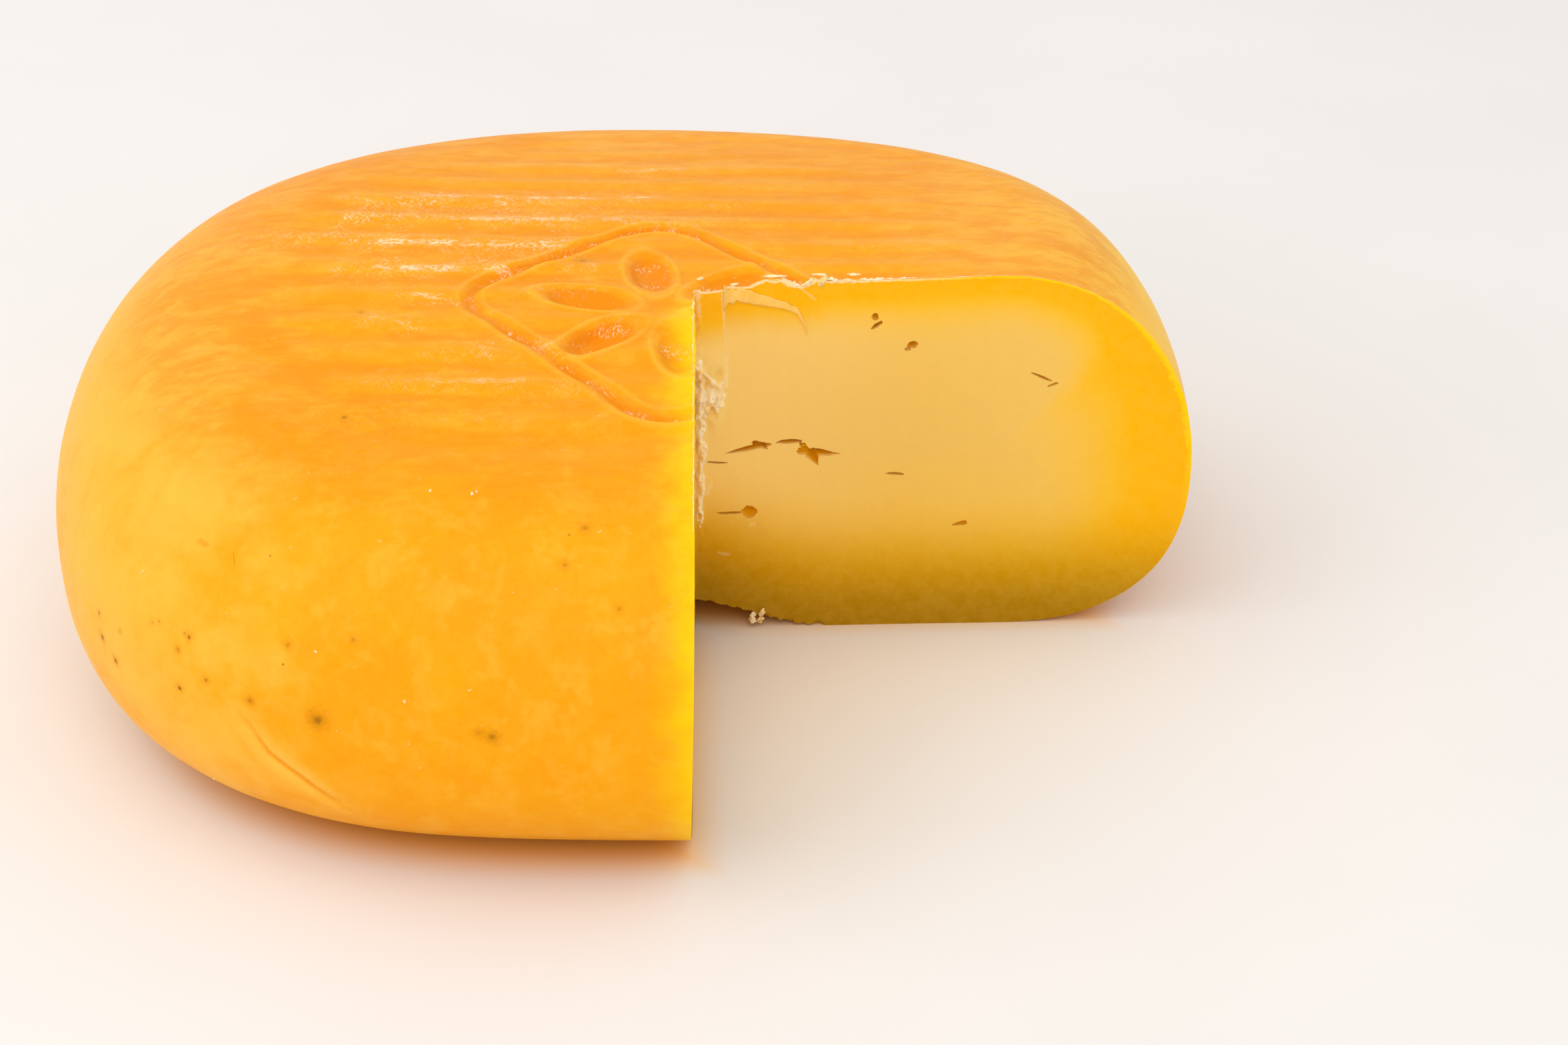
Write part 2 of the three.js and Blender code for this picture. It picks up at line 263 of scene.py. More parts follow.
# %% Make the floor
FLOOR_HALF = 8
PAINT_COLOURS = (0.83, 0.815, 0.80, 1), (0.85, 0.835, 0.82, 1)
GLOW_ORANGE = (0.97, 0.56, 0.12, 1)
FOOT_RADIUS = 92 * MM
FOOT_POWER = 2.6
GLOW_REACH = 14 * MM
GLOW_BEHIND_CUTS = 8 * MM

floor_paint = bpy.data.materials.new("floor_paint")
tree, shader, where = open_material(floor_paint)
tint = mix_colours(remap(noise_node(where, 9.0), 0.3, 0.7), *PAINT_COLOURS)
x, y, _ = axes(where)
powers = []
for socket, middle in ((x, AXIS.x), (y, AXIS.y)):
    offset = calculate("ABSOLUTE", minus(socket, middle), 0.0)
    powers.append(calculate("POWER", offset, FOOT_POWER))
radius = calculate("POWER", plus(*powers), 1 / FOOT_POWER)
past_left_cut = minus(x, CORNER.x - GLOW_BEHIND_CUTS)
past_right_cut = minus(CORNER.y + GLOW_BEHIND_CUTS, y)
past_cuts = calculate("MINIMUM", past_left_cut, past_right_cut)
glow = remap(highest(minus(radius, FOOT_RADIUS), past_cuts), 0.0, GLOW_REACH, 1.0, 0.0)
paint = {"Base Color": mix_colours(glow, tint, GLOW_ORANGE), "Roughness": 0.8}
set_inputs(shader, paint | {"Specular IOR Level": 0.2})

bm = bmesh.new()
bmesh.ops.create_grid(bm, x_segments=2, y_segments=2, size=FLOOR_HALF)
floor = piece_from(bm, "floor", floor_paint)
print("floor", 2 * FLOOR_HALF, "m wide")

# %% [markdown]
# ## The skin of the wheel
#
# A new wheel is round, but this one has slumped: its plan is a soft square, and its top is wider
# on one side. So a spin only makes a tube of rings, and each vertex is then moved to its place on
# the profile for its own direction. These are the same formulas that the CAD model uses.

# %% The profile
WHEEL_RADIUS = 120 * MM
RIM_HEIGHT = 77.5 * MM
DOME_RISE = 3.1 * MM
WAIST_HEIGHT = 37.2 * MM
TOP_SHARE = 0.641
BASE_SHARE = 0.652
SHOULDER_SQUARENESS = 2.07
FOOT_SQUARENESS = 2.52
DISH_DEPTH = 9 * MM
DISH_RADIUS = 42 * MM

# A wave is (lobes, cosine part, sine part) round the axis.
PLAN_WAVES = ((2, 0.006, -0.005), (3, 0.003, -0.009), (4, -0.027, 0.006), (5, -0.001, 0.008))
TOP_SHARE_WAVES = ((1, 0.03, 0.051), (2, 0.005, 0.068))
RIM_WAVES = ((1, -0.1 * MM, 0.5 * MM), (2, 3.2 * MM, -1.9 * MM))


def sum_waves(waves, azimuth):
    return sum(c * math.cos(n * azimuth) + s * math.sin(n * azimuth) for n, c, s in waves)


def rim_height(azimuth):
    return RIM_HEIGHT + sum_waves(RIM_WAVES, azimuth)


def plan_radius(azimuth):
    return WHEEL_RADIUS * (1 + sum_waves(PLAN_WAVES, azimuth))


def top_radius(azimuth):
    return plan_radius(azimuth) * (TOP_SHARE + sum_waves(TOP_SHARE_WAVES, azimuth))


def top_height(x, y):
    azimuth = math.atan2(y, x)
    share = math.hypot(x, y) / top_radius(azimuth)
    middle = RIM_HEIGHT + DOME_RISE
    return middle + (rim_height(azimuth) - middle) * share**2


# %% [markdown]
# The profile has four stretches, from the middle of the hollow underside to the middle of
# the top. Each one gives a radius and a height for a share of its own length.


# %% The four stretches
def underside(share, azimuth):
    radius = plan_radius(azimuth) * BASE_SHARE * share
    reach = min(radius / DISH_RADIUS, 1)
    return radius, DISH_DEPTH * (1 - reach**2) ** 2


def foot(share, azimuth):
    angle = (1 - share) * math.pi / 2
    power = 2 / FOOT_SQUARENESS
    inner = plan_radius(azimuth) * BASE_SHARE
    radius = inner + (plan_radius(azimuth) - inner) * math.cos(angle) ** power
    return radius, WAIST_HEIGHT * (1 - math.sin(angle) ** power)


def shoulder(share, azimuth):
    angle = (1 - share) * math.pi / 2
    power = 2 / SHOULDER_SQUARENESS
    inner = top_radius(azimuth)
    radius = inner + (plan_radius(azimuth) - inner) * math.sin(angle) ** power
    height = WAIST_HEIGHT + (rim_height(azimuth) - WAIST_HEIGHT) * math.cos(angle) ** power
    return radius, height


def top(share, azimuth):
    radius = top_radius(azimuth) * (1 - share)
    return radius, top_height(radius * math.cos(azimuth), radius * math.sin(azimuth))


STRETCHES = ((underside, 24), (foot, 26), (shoulder, 36), (top, 68))
STATIONS = sum(rings for _, rings in STRETCHES)


def profile_point(station, azimuth):
    for stretch, rings in STRETCHES:
        if station <= rings:
            return stretch(station / rings, azimuth)
        station -= rings
    return top(1, azimuth)


# %% Spin the rings and move them to the profile
SLICES = 300

bm = bmesh.new()
line = [bm.verts.new((1, 0, station)) for station in range(STATIONS + 1)]
for lower, upper in zip(line, line[1:]):
    bm.edges.new((lower, upper))
bmesh.ops.spin(
    bm,
    geom=bm.verts[:] + bm.edges[:],
    cent=(0, 0, 0),
    axis=(0, 0, 1),
    angle=TURN,
    steps=SLICES,
    use_merge=True,
)
for vert in bm.verts:
    azimuth = math.atan2(vert.co.y, vert.co.x)
    radius, height = profile_point(round(vert.co.z), azimuth)
    vert.co = (radius * math.cos(azimuth), radius * math.sin(azimuth), height)
bmesh.ops.remove_doubles(bm, verts=bm.verts, dist=WELD)
face_outwards(bm)
print("skin", len(bm.verts), "vertices")

# %% [markdown]
# ## Marks on the skin
#
# Three things have marked the skin. The slats of the ripening shelf left straight low ridges
# across the top. A mould pressed a stamp into it: a frame line with round corners, and a
# rosette of six petals inside. The wheel's own weight folded one shallow crease low on the side.
# All of them are low relief, so each is written as a height that is added along the normal.
#
# The stamp has its own turned pair of axes, with the zero in its middle.

# %% Where the marks are
RIDGE_PITCH = 12 * MM
RIDGE_HEIGHT = 0.65 * MM
RIDGE_TURN = math.radians(-1.7)
RIDGE_OFFSET = -0.6 * MM
RIDGE_REACH = (60 * MM, 78 * MM)

STAMP_CENTRE = Vector((8, -20.5)) * MM
STAMP_TURN = math.radians(40)
FRAME_HALF = Vector((28.2, 33.9)) * MM
FRAME_CORNER = 11 * MM
FRAME_LINE = 1.3 * MM
FRAME_DEPTH = 1.1 * MM
PETALS = 6
PETAL_REACH = 16.5 * MM
PETAL_HALF = Vector((10, 4.6)) * MM
PETAL_DEPTH = 1.9 * MM
LIP = 0.4 * MM
STAMP_REACH = 45 * MM


def across_ridges(x, y):
    return y * math.cos(RIDGE_TURN) - x * math.sin(RIDGE_TURN) - RIDGE_OFFSET


def on_stamp(x, y):
    spot = Vector((x, y)) - STAMP_CENTRE
    spot.rotate(Matrix.Rotation(-STAMP_TURN, 2))
    return spot


def frame_distance(spot):
    half = FRAME_HALF - Vector((FRAME_CORNER, FRAME_CORNER))
    out = Vector((abs(spot.x) - half.x, abs(spot.y) - half.y))
    outside = Vector((max(out.x, 0), max(out.y, 0))).length
    return outside + min(max(out.x, out.y), 0) - FRAME_CORNER


# %% [markdown]
# The ridges aren't machined. They wander a little, and they are stronger in some places
# than in others, so smooth noise moves and fades them. The crests of real ones are also
# sharper than the troughs, because the paste sank between the slats.


# %% Relief of the ridges
def ridge_wave(x, y):
    wander = noise_at(x / (60 * MM), y / (9 * MM), 3.7) * 1.4 * MM
    phase = TURN * (across_ridges(x, y) + wander) / RIDGE_PITCH
    crest = (0.5 + 0.5 * math.cos(phase)) ** 1.7
    fade = 1 - smoothstep(math.hypot(x, y), *RIDGE_REACH)
    strength = 0.75 + 0.6 * noise_at(x / (34 * MM), y / (12 * MM), 9.1)
    return crest, fade * strength


def ridge_relief(x, y):
    crest, strength = ridge_wave(x, y)
    return RIDGE_HEIGHT * (crest - 0.5) * strength


# %% [markdown]
# A pressed line has a rounded floor and a low lip on both sides, where the paste was pushed
# up. A petal is the same thing with an oval outline.


# %% Relief of the stamp
def frame_relief(spot):
    distance = abs(frame_distance(spot)) / FRAME_LINE
    return LIP * math.exp(-((distance - 1.9) ** 2) * 2) - FRAME_DEPTH * bell(distance)


def petal_relief(spot):
    step = TURN / PETALS
    direction = round(math.atan2(spot.y, spot.x) / step) * step
    leaf = spot.copy()
    leaf.rotate(Matrix.Rotation(-direction, 2))
    reach = Vector(((leaf.x - PETAL_REACH) / PETAL_HALF.x, leaf.y / PETAL_HALF.y)).length
    floor_depth = PETAL_DEPTH * (1 - smoothstep(reach, 0.45, 1.05))
    return LIP * bell((reach - 1.18) / 0.14) - floor_depth


def stamp_relief(x, y):
    spot = on_stamp(x, y)
    if max(abs(spot.x), abs(spot.y)) > STAMP_REACH:
        return 0.0
    wear = 0.9 + 0.5 * noise.noise(Vector((x, y, 2.2 * MM)) / (14 * MM))
    return (frame_relief(spot) + petal_relief(spot)) * wear


# %% [markdown]
# The crease follows four points down the side. On its upper side the skin bulges, and on its
# lower side it is drawn in, so its section is a soft step. Broad noise gives the whole skin the
# slight unevenness of something that was ripened on a shelf and turned by hand. It only sinks
# the skin and never lifts it, so the wheel keeps its size.

# %% Relief of the crease and the dents
CREASE_MM = (
    (-69.8, -100.9, 33.2),
    (-66.3, -102.2, 27.5),
    (-60.5, -103.7, 23.1),
    (-53.7, -103.8, 17.2),
)
CREASE = [Vector(point) * MM for point in CREASE_MM]
CREASE_DEPTH = 0.6 * MM
CREASE_WIDTH = 1.6 * MM


def crease_gap(point):
    """The nearest stretch of the crease, as its run and the way from it to the point."""
    gaps = []
    for start, end in zip(CREASE, CREASE[1:]):
        run = end - start
        share = min(max((point - start).dot(run) / run.length_squared, 0), 1)
        gap = point - start - run * share
        gaps.append((gap.length, run, gap))
    return min(gaps, key=lambda item: item[0])


def crease_relief(point):
    nearest, _, gap = crease_gap(point)
    side = 1 if gap.x < 0 else -1
    spread = nearest / CREASE_WIDTH
    bulge = 0.5 * side * spread * math.exp(-spread)
    return CREASE_DEPTH * (bulge - bell(1.6 * spread))


def dent_relief(point):
    broad = noise.noise(point / (46 * MM))
    small = noise.noise(point / (13 * MM) + Vector((5, 1, 8)))
    return -0.55 * MM * (0.5 + 0.5 * broad) - 0.14 * MM * (0.5 + 0.5 * small)


# %% [markdown]
# The lines of the stamp and the crease are finer than the rings. Only the faces near them
# are divided further, which is cheaper than more rings everywhere, and the part of the stamp that
# the cuts take away is spared. Each edge is named once, in the order of the faces. Then every
# vertex takes its relief.

# %% Divide the marks and add the relief
def is_stamped(face):
    centre = face.calc_center_median()
    spot = on_stamp(centre.x, centre.y)
    near_line = abs(frame_distance(spot)) < 4 * MM
    near_petal = spot.length < PETAL_REACH + PETAL_HALF.x + 2 * MM and centre.xy.length > 9 * MM
    cut_away = centre.x > 16 * MM and centre.y < -12 * MM
    return centre.z > WAIST_HEIGHT and (near_line or near_petal) and not cut_away


def is_creased(face):
    return crease_gap(face.calc_center_median())[0] < 5 * MM


for is_marked, cuts in ((is_stamped, 1), (is_creased, 2)):
    marked = dict.fromkeys(edge for face in bm.faces if is_marked(face) for edge in face.edges)
    bmesh.ops.subdivide_edges(bm, edges=list(marked), cuts=cuts, use_grid_fill=True)
bmesh.ops.triangulate(bm, faces=[face for face in bm.faces if len(face.verts) > 4])
bm.normal_update()
for vert in bm.verts:
    spot = vert.co.copy()
    lift = dent_relief(spot) + crease_relief(spot)
    if vert.normal.z > 0.5:
        lift += ridge_relief(spot.x, spot.y) + stamp_relief(spot.x, spot.y)
    vert.co += vert.normal * lift * smoothstep(spot.z, 0, 6 * MM)
bmesh.ops.translate(bm, vec=AXIS, verts=bm.verts)
skin_tree = BVHTree.FromBMesh(bm)
print("divided skin", len(bm.faces), "faces")

# %% [markdown]
# The skin is kept as a closed solid in two materials. All of it is rind, and the knife will
# bring the paste.

# %% Keep the skin as an object
rind = bpy.data.materials.new("rind")
paste = bpy.data.materials.new("paste")
wheel = piece_from(bm, "wheel", rind, paste)

# %% [markdown]
# ## The knife
#
# Two cuts meet in a corner near the middle. A Boolean could take out a plain wedge, but a
# knife leaves marks: slow waves, fine streaks, and a ledge in the corner where the second cut
# stopped short and tore. So the tool is a fine sheet, bent round the corner and given those
# marks. Its two ends are then drawn out to a far corner, and it is welded and capped.
#
# A place on a cut is given by its distance from the corner, its height, and how far it stands
# proud of the flat of the cut. The left cut isn't quite upright: the knife drifted to the left on
# its way down.

# %% Places on the cuts
RIGHT, LEFT = 1, -1
CUT_ANGLE = {RIGHT: math.radians(0.3), LEFT: math.radians(-90.3)}
LEAN = {RIGHT: 0.0, LEFT: math.tan(math.radians(1.15))}
LEAN_TOP = 80 * MM
ALONG = {side: Vector((math.cos(angle), math.sin(angle), 0)) for side, angle in CUT_ANGLE.items()}
OUT = {side: Vector((ALONG[side].y, -ALONG[side].x, 0)) * side for side in ALONG}


def on_cut(side, along, height, proud=0.0):
    proud += LEAN[side] * (height - LEAN_TOP)
    return CORNER + ALONG[side] * along + OUT[side] * proud + Vector((0, 0, height))


def behind_cut(side, point):
    return LEAN[side] * (point.z - LEAN_TOP) - (point - CORNER).dot(OUT[side])


# %% [markdown]
# The ledge is widest at the top and has torn away below. Between the two the tear runs
# ragged, and under it the paste is rough down the whole corner.

# %% Relief of the cuts
LEDGE_WIDTH = 6.2 * MM
LEDGE_AT_CORNER = 2.9 * MM
LEDGE_AT_STEP = 1.3 * MM
LEDGE_FOOT = 56 * MM
LEDGE_FULL = 66 * MM


def ledge_proud(along, height):
    ragged = noise_at(along / (2.2 * MM), height / (5 * MM), 4) * 3 * MM
    fullness = smoothstep(height + ragged, LEDGE_FOOT, LEDGE_FULL)
    share = min(along / LEDGE_WIDTH, 1)
    edge = 1 - smoothstep(along, LEDGE_WIDTH - 0.25 * MM, LEDGE_WIDTH + 0.25 * MM)
    return mix(LEDGE_AT_CORNER, LEDGE_AT_STEP, share) * fullness * edge


def torn_proud(along, height):
    reach = 1 - smoothstep(along, 3 * MM, 7 * MM)
    band = smoothstep(height, 44 * MM, 51 * MM) * (1 - smoothstep(height, 60 * MM, 65 * MM))
    rough = noise_at(along / (1.4 * MM), height / (1.9 * MM), 7.5)
    return reach * band * (0.35 + rough) * 1.5 * MM


def corner_proud(along, height):
    reach = 1 - smoothstep(along, 0.6 * MM, 2.2 * MM)
    band = smoothstep(height, 14 * MM, 30 * MM)
    rough = noise_at(along / (0.9 * MM), height / (1.6 * MM), 1.5)
    return reach * band * (0.25 + rough) * 0.7 * MM


def knife_proud(side, along, height):
    wave = noise_at(along / (30 * MM), height / (50 * MM), side) * 0.35 * MM
    streak = noise_at(along / (3 * MM), height / (26 * MM), side + 6) * 0.05 * MM
    return (wave + streak) * smoothstep(along, 2 * MM, 10 * MM)


def cut_proud(side, along, height):
    proud = knife_proud(side, along, height) + corner_proud(along, height)
    if side == RIGHT:
        proud += ledge_proud(along, height) + torn_proud(along, height)
    return proud


# %% [markdown]
# The sheet's columns stand closer together near the corner, where the relief is finest. The
# left cut begins where the ledge's face ends, so both halves meet in one clean edge.

# %% Bend the sheet
SHEET_REACH = 122 * MM
SHEET_COLUMNS = 250
SHEET_ROWS = 110
SHEET_BOTTOM = -6 * MM
SHEET_TOP = 88 * MM
MEETING_WIDTH = 4 * MM
FAR_CORNER = AXIS + Vector((190, -190, 0)) * MM


def is_upright(edge):
    lower, upper = (vert.co.z for vert in edge.verts)
    return abs(upper - lower) > 0.1 * MM


def vertices_in(geometry):
    return [item for item in geometry if isinstance(item, bmesh.types.BMVert)]


def tool_from(bm):
    """A piece to carve with. All its faces are paste, and so is what it uncovers."""
    face_outwards(bm)
    for face in bm.faces:
        face.material_index = 1
    return piece_from(bm, "tool", rind, paste)


bm = bmesh.new()
bmesh.ops.create_grid(bm, x_segments=SHEET_COLUMNS, y_segments=SHEET_ROWS, size=1)
for vert in bm.verts:
    share, level = vert.co.x, (vert.co.y + 1) / 2
    side = RIGHT if share >= 0 else LEFT
    along = SHEET_REACH * (0.35 * abs(share) + 0.65 * abs(share) ** 3)
    height = mix(SHEET_BOTTOM, SHEET_TOP, level)
    proud = cut_proud(side, along, height)
    if side == LEFT:
        meeting = 1 - smoothstep(along, 0, MEETING_WIDTH)
        proud -= corner_proud(0, height) * meeting
        along += cut_proud(RIGHT, 0, height)
    vert.co = on_cut(side, along, height, proud)

ends = [edge for edge in bm.edges if edge.is_boundary and is_upright(edge)]
drawn = bmesh.ops.extrude_edge_only(bm, edges=ends)["geom"]
for vert in vertices_in(drawn):
    vert.co = (FAR_CORNER.x, FAR_CORNER.y, vert.co.z)
bmesh.ops.remove_doubles(bm, verts=bm.verts, dist=WELD)
bmesh.ops.holes_fill(bm, edges=[edge for edge in bm.edges if edge.is_boundary], sides=0)
open_edges = sum(not edge.is_manifold for edge in bm.edges)
print("knife sheet", len(bm.faces), "faces,", open_edges, "open edges")
knife = tool_from(bm)

# %% [markdown]
# ## Eyes and slits
#
# Gas left round eyes in the young paste, and later the paste cracked beside them, so most
# openings are slits that taper to a point. Each one is a ball: stretched, tapered towards one
# end, roughened with noise, turned and pushed into the cut up to its middle. A depth in the list
# is that of a ball with straight walls, and EYE_SHARE makes it as shallow as a round one looks.
# The chips along the lower edges, where the hollow underside left the rind weak, are small rough
# balls too.

# %% The openings of both cuts
# (side, distance from the corner, height, length, thickness, depth, tilt in degrees, taper).
# A taper of 1 ends in a point nearest to the corner, -1 in one furthest from it.
OPENINGS = (
    (RIGHT, 36.7, 72, 1.5, 1.7, 3, 0, 0),
    (RIGHT, 36.9, 70, 2.9, 1.2, 4, 35, 0.4),
    (RIGHT, 44.3, 65.6, 2.3, 1.8, 4, 20, 0),
    (RIGHT, 43.4, 64.6, 1.5, 0.8, 2, 0, 0),
    (RIGHT, 71, 57.8, 5, 0.7, 3, -25, 0.3),
    (RIGHT, 73.5, 56, 2.5, 0.6, 2, 20, 0),
    (RIGHT, 10.4, 42.3, 10, 2.2, 6, 13, 0.9),
    (RIGHT, 13.2, 43.1, 3.6, 1.9, 6, -28, -0.5),
    (RIGHT, 19, 43.8, 5.6, 1.1, 5, 2, 0.2),
    (RIGHT, 22.3, 42.6, 2.6, 1.4, 5, -50, 0),
    (RIGHT, 25.2, 41.2, 8.4, 2.6, 6, -6, -0.6),
    (RIGHT, 24.2, 40, 4.2, 4.2, 6, -62, -0.9),
    (RIGHT, 3.4, 39.3, 6.6, 0.5, 3, -4, 0),
    (RIGHT, 10.9, 27.6, 3.1, 3.0, 5, 15, 0),
    (RIGHT, 7.2, 27.4, 6.6, 0.75, 3, 1, -0.3),
    (RIGHT, 41, 36, 3.8, 0.9, 3, -4, 0.5),
    (RIGHT, 55, 24, 3.2, 1.4, 3, 12, 0.5),
    (RIGHT, 4.1, 55, 4.6, 1.3, 3, 6, 0.5),
    (LEFT, 12, 46, 15, 1.9, 6, 16, 0.8),
    (LEFT, 51, 61, 5.6, 1.5, 4, -24, 0.6),
    (LEFT, 57, 59.5, 3, 1.2, 3, -20, 0),
    (LEFT, 62, 58, 1.8, 1.4, 3, 0, 0),
    (LEFT, 69, 53, 2.4, 3.4, 4, -20, 0),
    (LEFT, 54, 34, 5, 0.9, 3, 10, 0.6),
    (LEFT, 59, 29, 5, 1.1, 3, -8, -0.5),
    (LEFT, 38, 25, 2.6, 3, 4, 35, 0),
    (LEFT, 47, 16, 4.4, 1, 3, 30, 0.4),
    (LEFT, 90, 52, 1.6, 1.6, 3, 0, 0),
)
EYE_SHARE = 0.6
EYE_ROUGHNESS = 0.32
LONG_SLIT = 5.5


def add_rough_ball(bm, divisions, roughness, seed):
    """Adds a ball of radius 1 with an uneven skin, and returns its vertices."""
    verts = bmesh.ops.create_icosphere(bm, subdivisions=divisions, radius=1)["verts"]
    for vert in verts:
        bumps = noise.noise(vert.co * 1.3 + Vector((seed, 0, 0)))
        bumps += 0.5 * noise.noise(vert.co * 3.1 + Vector((0, seed, 0)))
        vert.co *= 1 + roughness * bumps
    return verts


def add_opening(bm, seed, side, along, height, length, thickness, depth, tilt, taper):
    verts = add_rough_ball(bm, 4 if length > LONG_SLIT else 3, EYE_ROUGHNESS, seed)
    for vert in verts:
        vert.co.z *= mix(1, 0.5 + 0.5 * vert.co.x * math.copysign(1, taper), abs(taper))
    half_size = Vector((length / 2, depth * EYE_SHARE, thickness / 2)) * MM
    bmesh.ops.scale(bm, vec=half_size, verts=verts)
    bmesh.ops.rotate(bm, matrix=Matrix.Rotation(math.radians(-tilt), 3, "Y"), verts=verts)
    for vert in verts:
        vert.co = on_cut(side, along * MM + vert.co.x, height * MM + vert.co.z, vert.co.y)


# %% [markdown]
# Chips run along the lower edge of each cut for as far as the underside is hollow. The
# distance to the wheel's axis says how high that edge is.


# %% The chips
CHIPS_PER_CUT = 9
CHIP_PITCH = 2.8


def dish_height(point):
    share = (point - AXIS).xy.length / (plan_radius(0) * BASE_SHARE)
    return underside(min(share, 1), 0)[1]


def add_chip(bm, seed, side, along, size):
    edge_height = dish_height(on_cut(side, along, 0))
    verts = add_rough_ball(bm, 2, 0.5, seed)
    bmesh.ops.scale(bm, vec=(size * 1.5, size * 0.8, size), verts=verts)
    bmesh.ops.translate(bm, vec=on_cut(side, along, edge_height), verts=verts)


# %% [markdown]
# Each opening overlaps the next one in its cluster, so they are taken out of the wheel one
# after the other. The first cut is the knife's. A Boolean keeps the material numbers of its tool.


# %% Carve the wheel
def carve(body, tool):
    step = body.modifiers.new("cut", "BOOLEAN")
    step.operation = "DIFFERENCE"
    step.solver = "MANIFOLD"
    step.object = tool
    graph = bpy.context.evaluated_depsgraph_get()
    carved = bpy.data.meshes.new_from_object(body.evaluated_get(graph), depsgraph=graph)
    body.modifiers.clear()
    body.data = carved
    bpy.data.objects.remove(tool)


def carve_with(add_shape, *values):
    bm = bmesh.new()
    add_shape(bm, *values)
    carve(wheel, tool_from(bm))


carve(wheel, knife)
print("after the knife", len(wheel.data.polygons), "faces")
for seed, opening in enumerate(OPENINGS):
    carve_with(add_opening, seed, *opening)
draw = random.Random(11)
for side in (RIGHT, LEFT):
    for step in range(CHIPS_PER_CUT):
        along = (2 + CHIP_PITCH * step + draw.random()) * MM
        carve_with(add_chip, step + 40 * side, side, along, draw.uniform(0.5, 1.1) * MM)
wheel.data.name = "wheel"
print("after the openings", len(wheel.data.polygons), "faces")

# %% [markdown]
# The colour of the paste depends on how deep it lies under the rind. A mesh can carry such a
# value on its vertices, as an attribute that the material reads. The paste dries three times as
# deep from the sides and the base as from the top, so depths below those count for a third.
#
# Five more values are kept the same way: how far a vertex lies behind its cut, which is how deep
# inside an eye it is; how near it is to the base; where the shelf ridges have their crests; the
# relief of the stamp; and how far aside of the crease it lies, with a sign for the side. Because
# of the sign, the zero of that value is a clean line, finer than the mesh.


# %% Measure depths and keep them on the mesh
SIDE_SHARE = 0.36
CREASE_REACH = 10 * MM


def hollow_depth(point):
    """How far a point of the paste lies behind both cuts."""
    depths = [1.0]
    for side in (RIGHT, LEFT):
        if (point - CORNER).dot(ALONG[side]) > -0.5 * MM:
            depths.append(behind_cut(side, point))
    return max(min(depths), 0)


def crease_offset(point):
    _, run, gap = crease_gap(point)
    outwards = Vector((point.x, point.y, 0)).normalized()
    offset = gap.dot(run.normalized().cross(outwards))
    return max(min(offset, CREASE_REACH), -CREASE_REACH)


def measure(point):
    _, normal, _, depth = skin_tree.find_nearest(point)
    above_base = point.z - dish_height(point)
    dried = min(depth * mix(SIDE_SHARE, 1, smoothstep(normal.z, 0.6, 1)), above_base * SIDE_SHARE)
    local = point - AXIS
    crest, strength = ridge_wave(local.x, local.y)
    on_top = smoothstep(local.z, 66 * MM, 74 * MM)
    pressed = stamp_relief(local.x, local.y) * on_top
    crease = crease_offset(local)
    in_mm = [value / MM for value in (dried, hollow_depth(point), above_base, pressed, crease)]
    return *in_mm, crest * strength * on_top


MEASURES = (
    "rind_depth",
    "hollow_depth",
    "above_base",
    "stamp_relief",
    "crease_offset",
    "ridge_crest",
)
values = [measure(vert.co) for vert in wheel.data.vertices]
for index, name in enumerate(MEASURES):
    kept = wheel.data.attributes.new(name, "FLOAT", "POINT")
    kept.data.foreach_set("value", [row[index] for row in values])
print("deepest paste", round(max(row[0] for row in values), 1), "mm")

# %% [markdown]
# The skin is smooth, and the edges that the knife left are sharp. An edge is marked sharp
# where it bends by more than 32 degrees, or where rind meets paste.

# %% Mark the sharp edges
SHARP_BEND = math.radians(32)
bm = bmesh.new()
bm.from_mesh(wheel.data)
bmesh.ops.remove_doubles(bm, verts=bm.verts, dist=2 * WELD)
bmesh.ops.dissolve_degenerate(bm, dist=WELD, edges=bm.edges)
sharp_count = 0
for edge in bm.edges:
    if len(edge.link_faces) == 2:
        same_material = len({face.material_index for face in edge.link_faces}) == 1
        edge.smooth = same_material and edge.calc_face_angle(0) < SHARP_BEND
        sharp_count += not edge.smooth
for face in bm.faces:
    face.smooth = True
bm.to_mesh(wheel.data)
triangles = sum(len(face.verts) - 2 for face in bm.faces)
bm.free()
print("wheel", triangles, "triangles,", sharp_count, "sharp edges")

# %% [markdown]
# ## Burr, rags and crumbs
#
# The knife dragged loose paste with it. A ragged pale burr stands along the top edges of both
# cuts, torn paste hangs in the corner below the ledge, and a few crumbs stick to the wheel.
# Many small separate grains would look like rice. So the burr is one long tube whose thickness
# noise has made very uneven, and the rags are one sheet of deep relief.
#
# First comes a way to walk along the edge where the skin meets a cut. A ray is shot from a point
# of the cut upwards in the cut's own plane, and it meets the skin at the edge.

# %% Walk along an edge
WALK_HEIGHT = 40 * MM


def edge_above(side, along):
    """The place of the edge above a point of the cut, and the normal of the skin there."""
    upwards = Vector((0, 0, 1)) + OUT[side] * LEAN[side]
    hit, normal, _, _ = skin_tree.ray_cast(on_cut(side, along, WALK_HEIGHT), upwards)
    return hit, normal


# %% [markdown]
# The tube starts as a grid. One direction runs along the edge and the other round the tube,
# and the two sides are then welded. It closes to a point at both ends.


# %% Lay a burr along an edge
BURR_SIDES = 9
BURR_SINK = 0.2


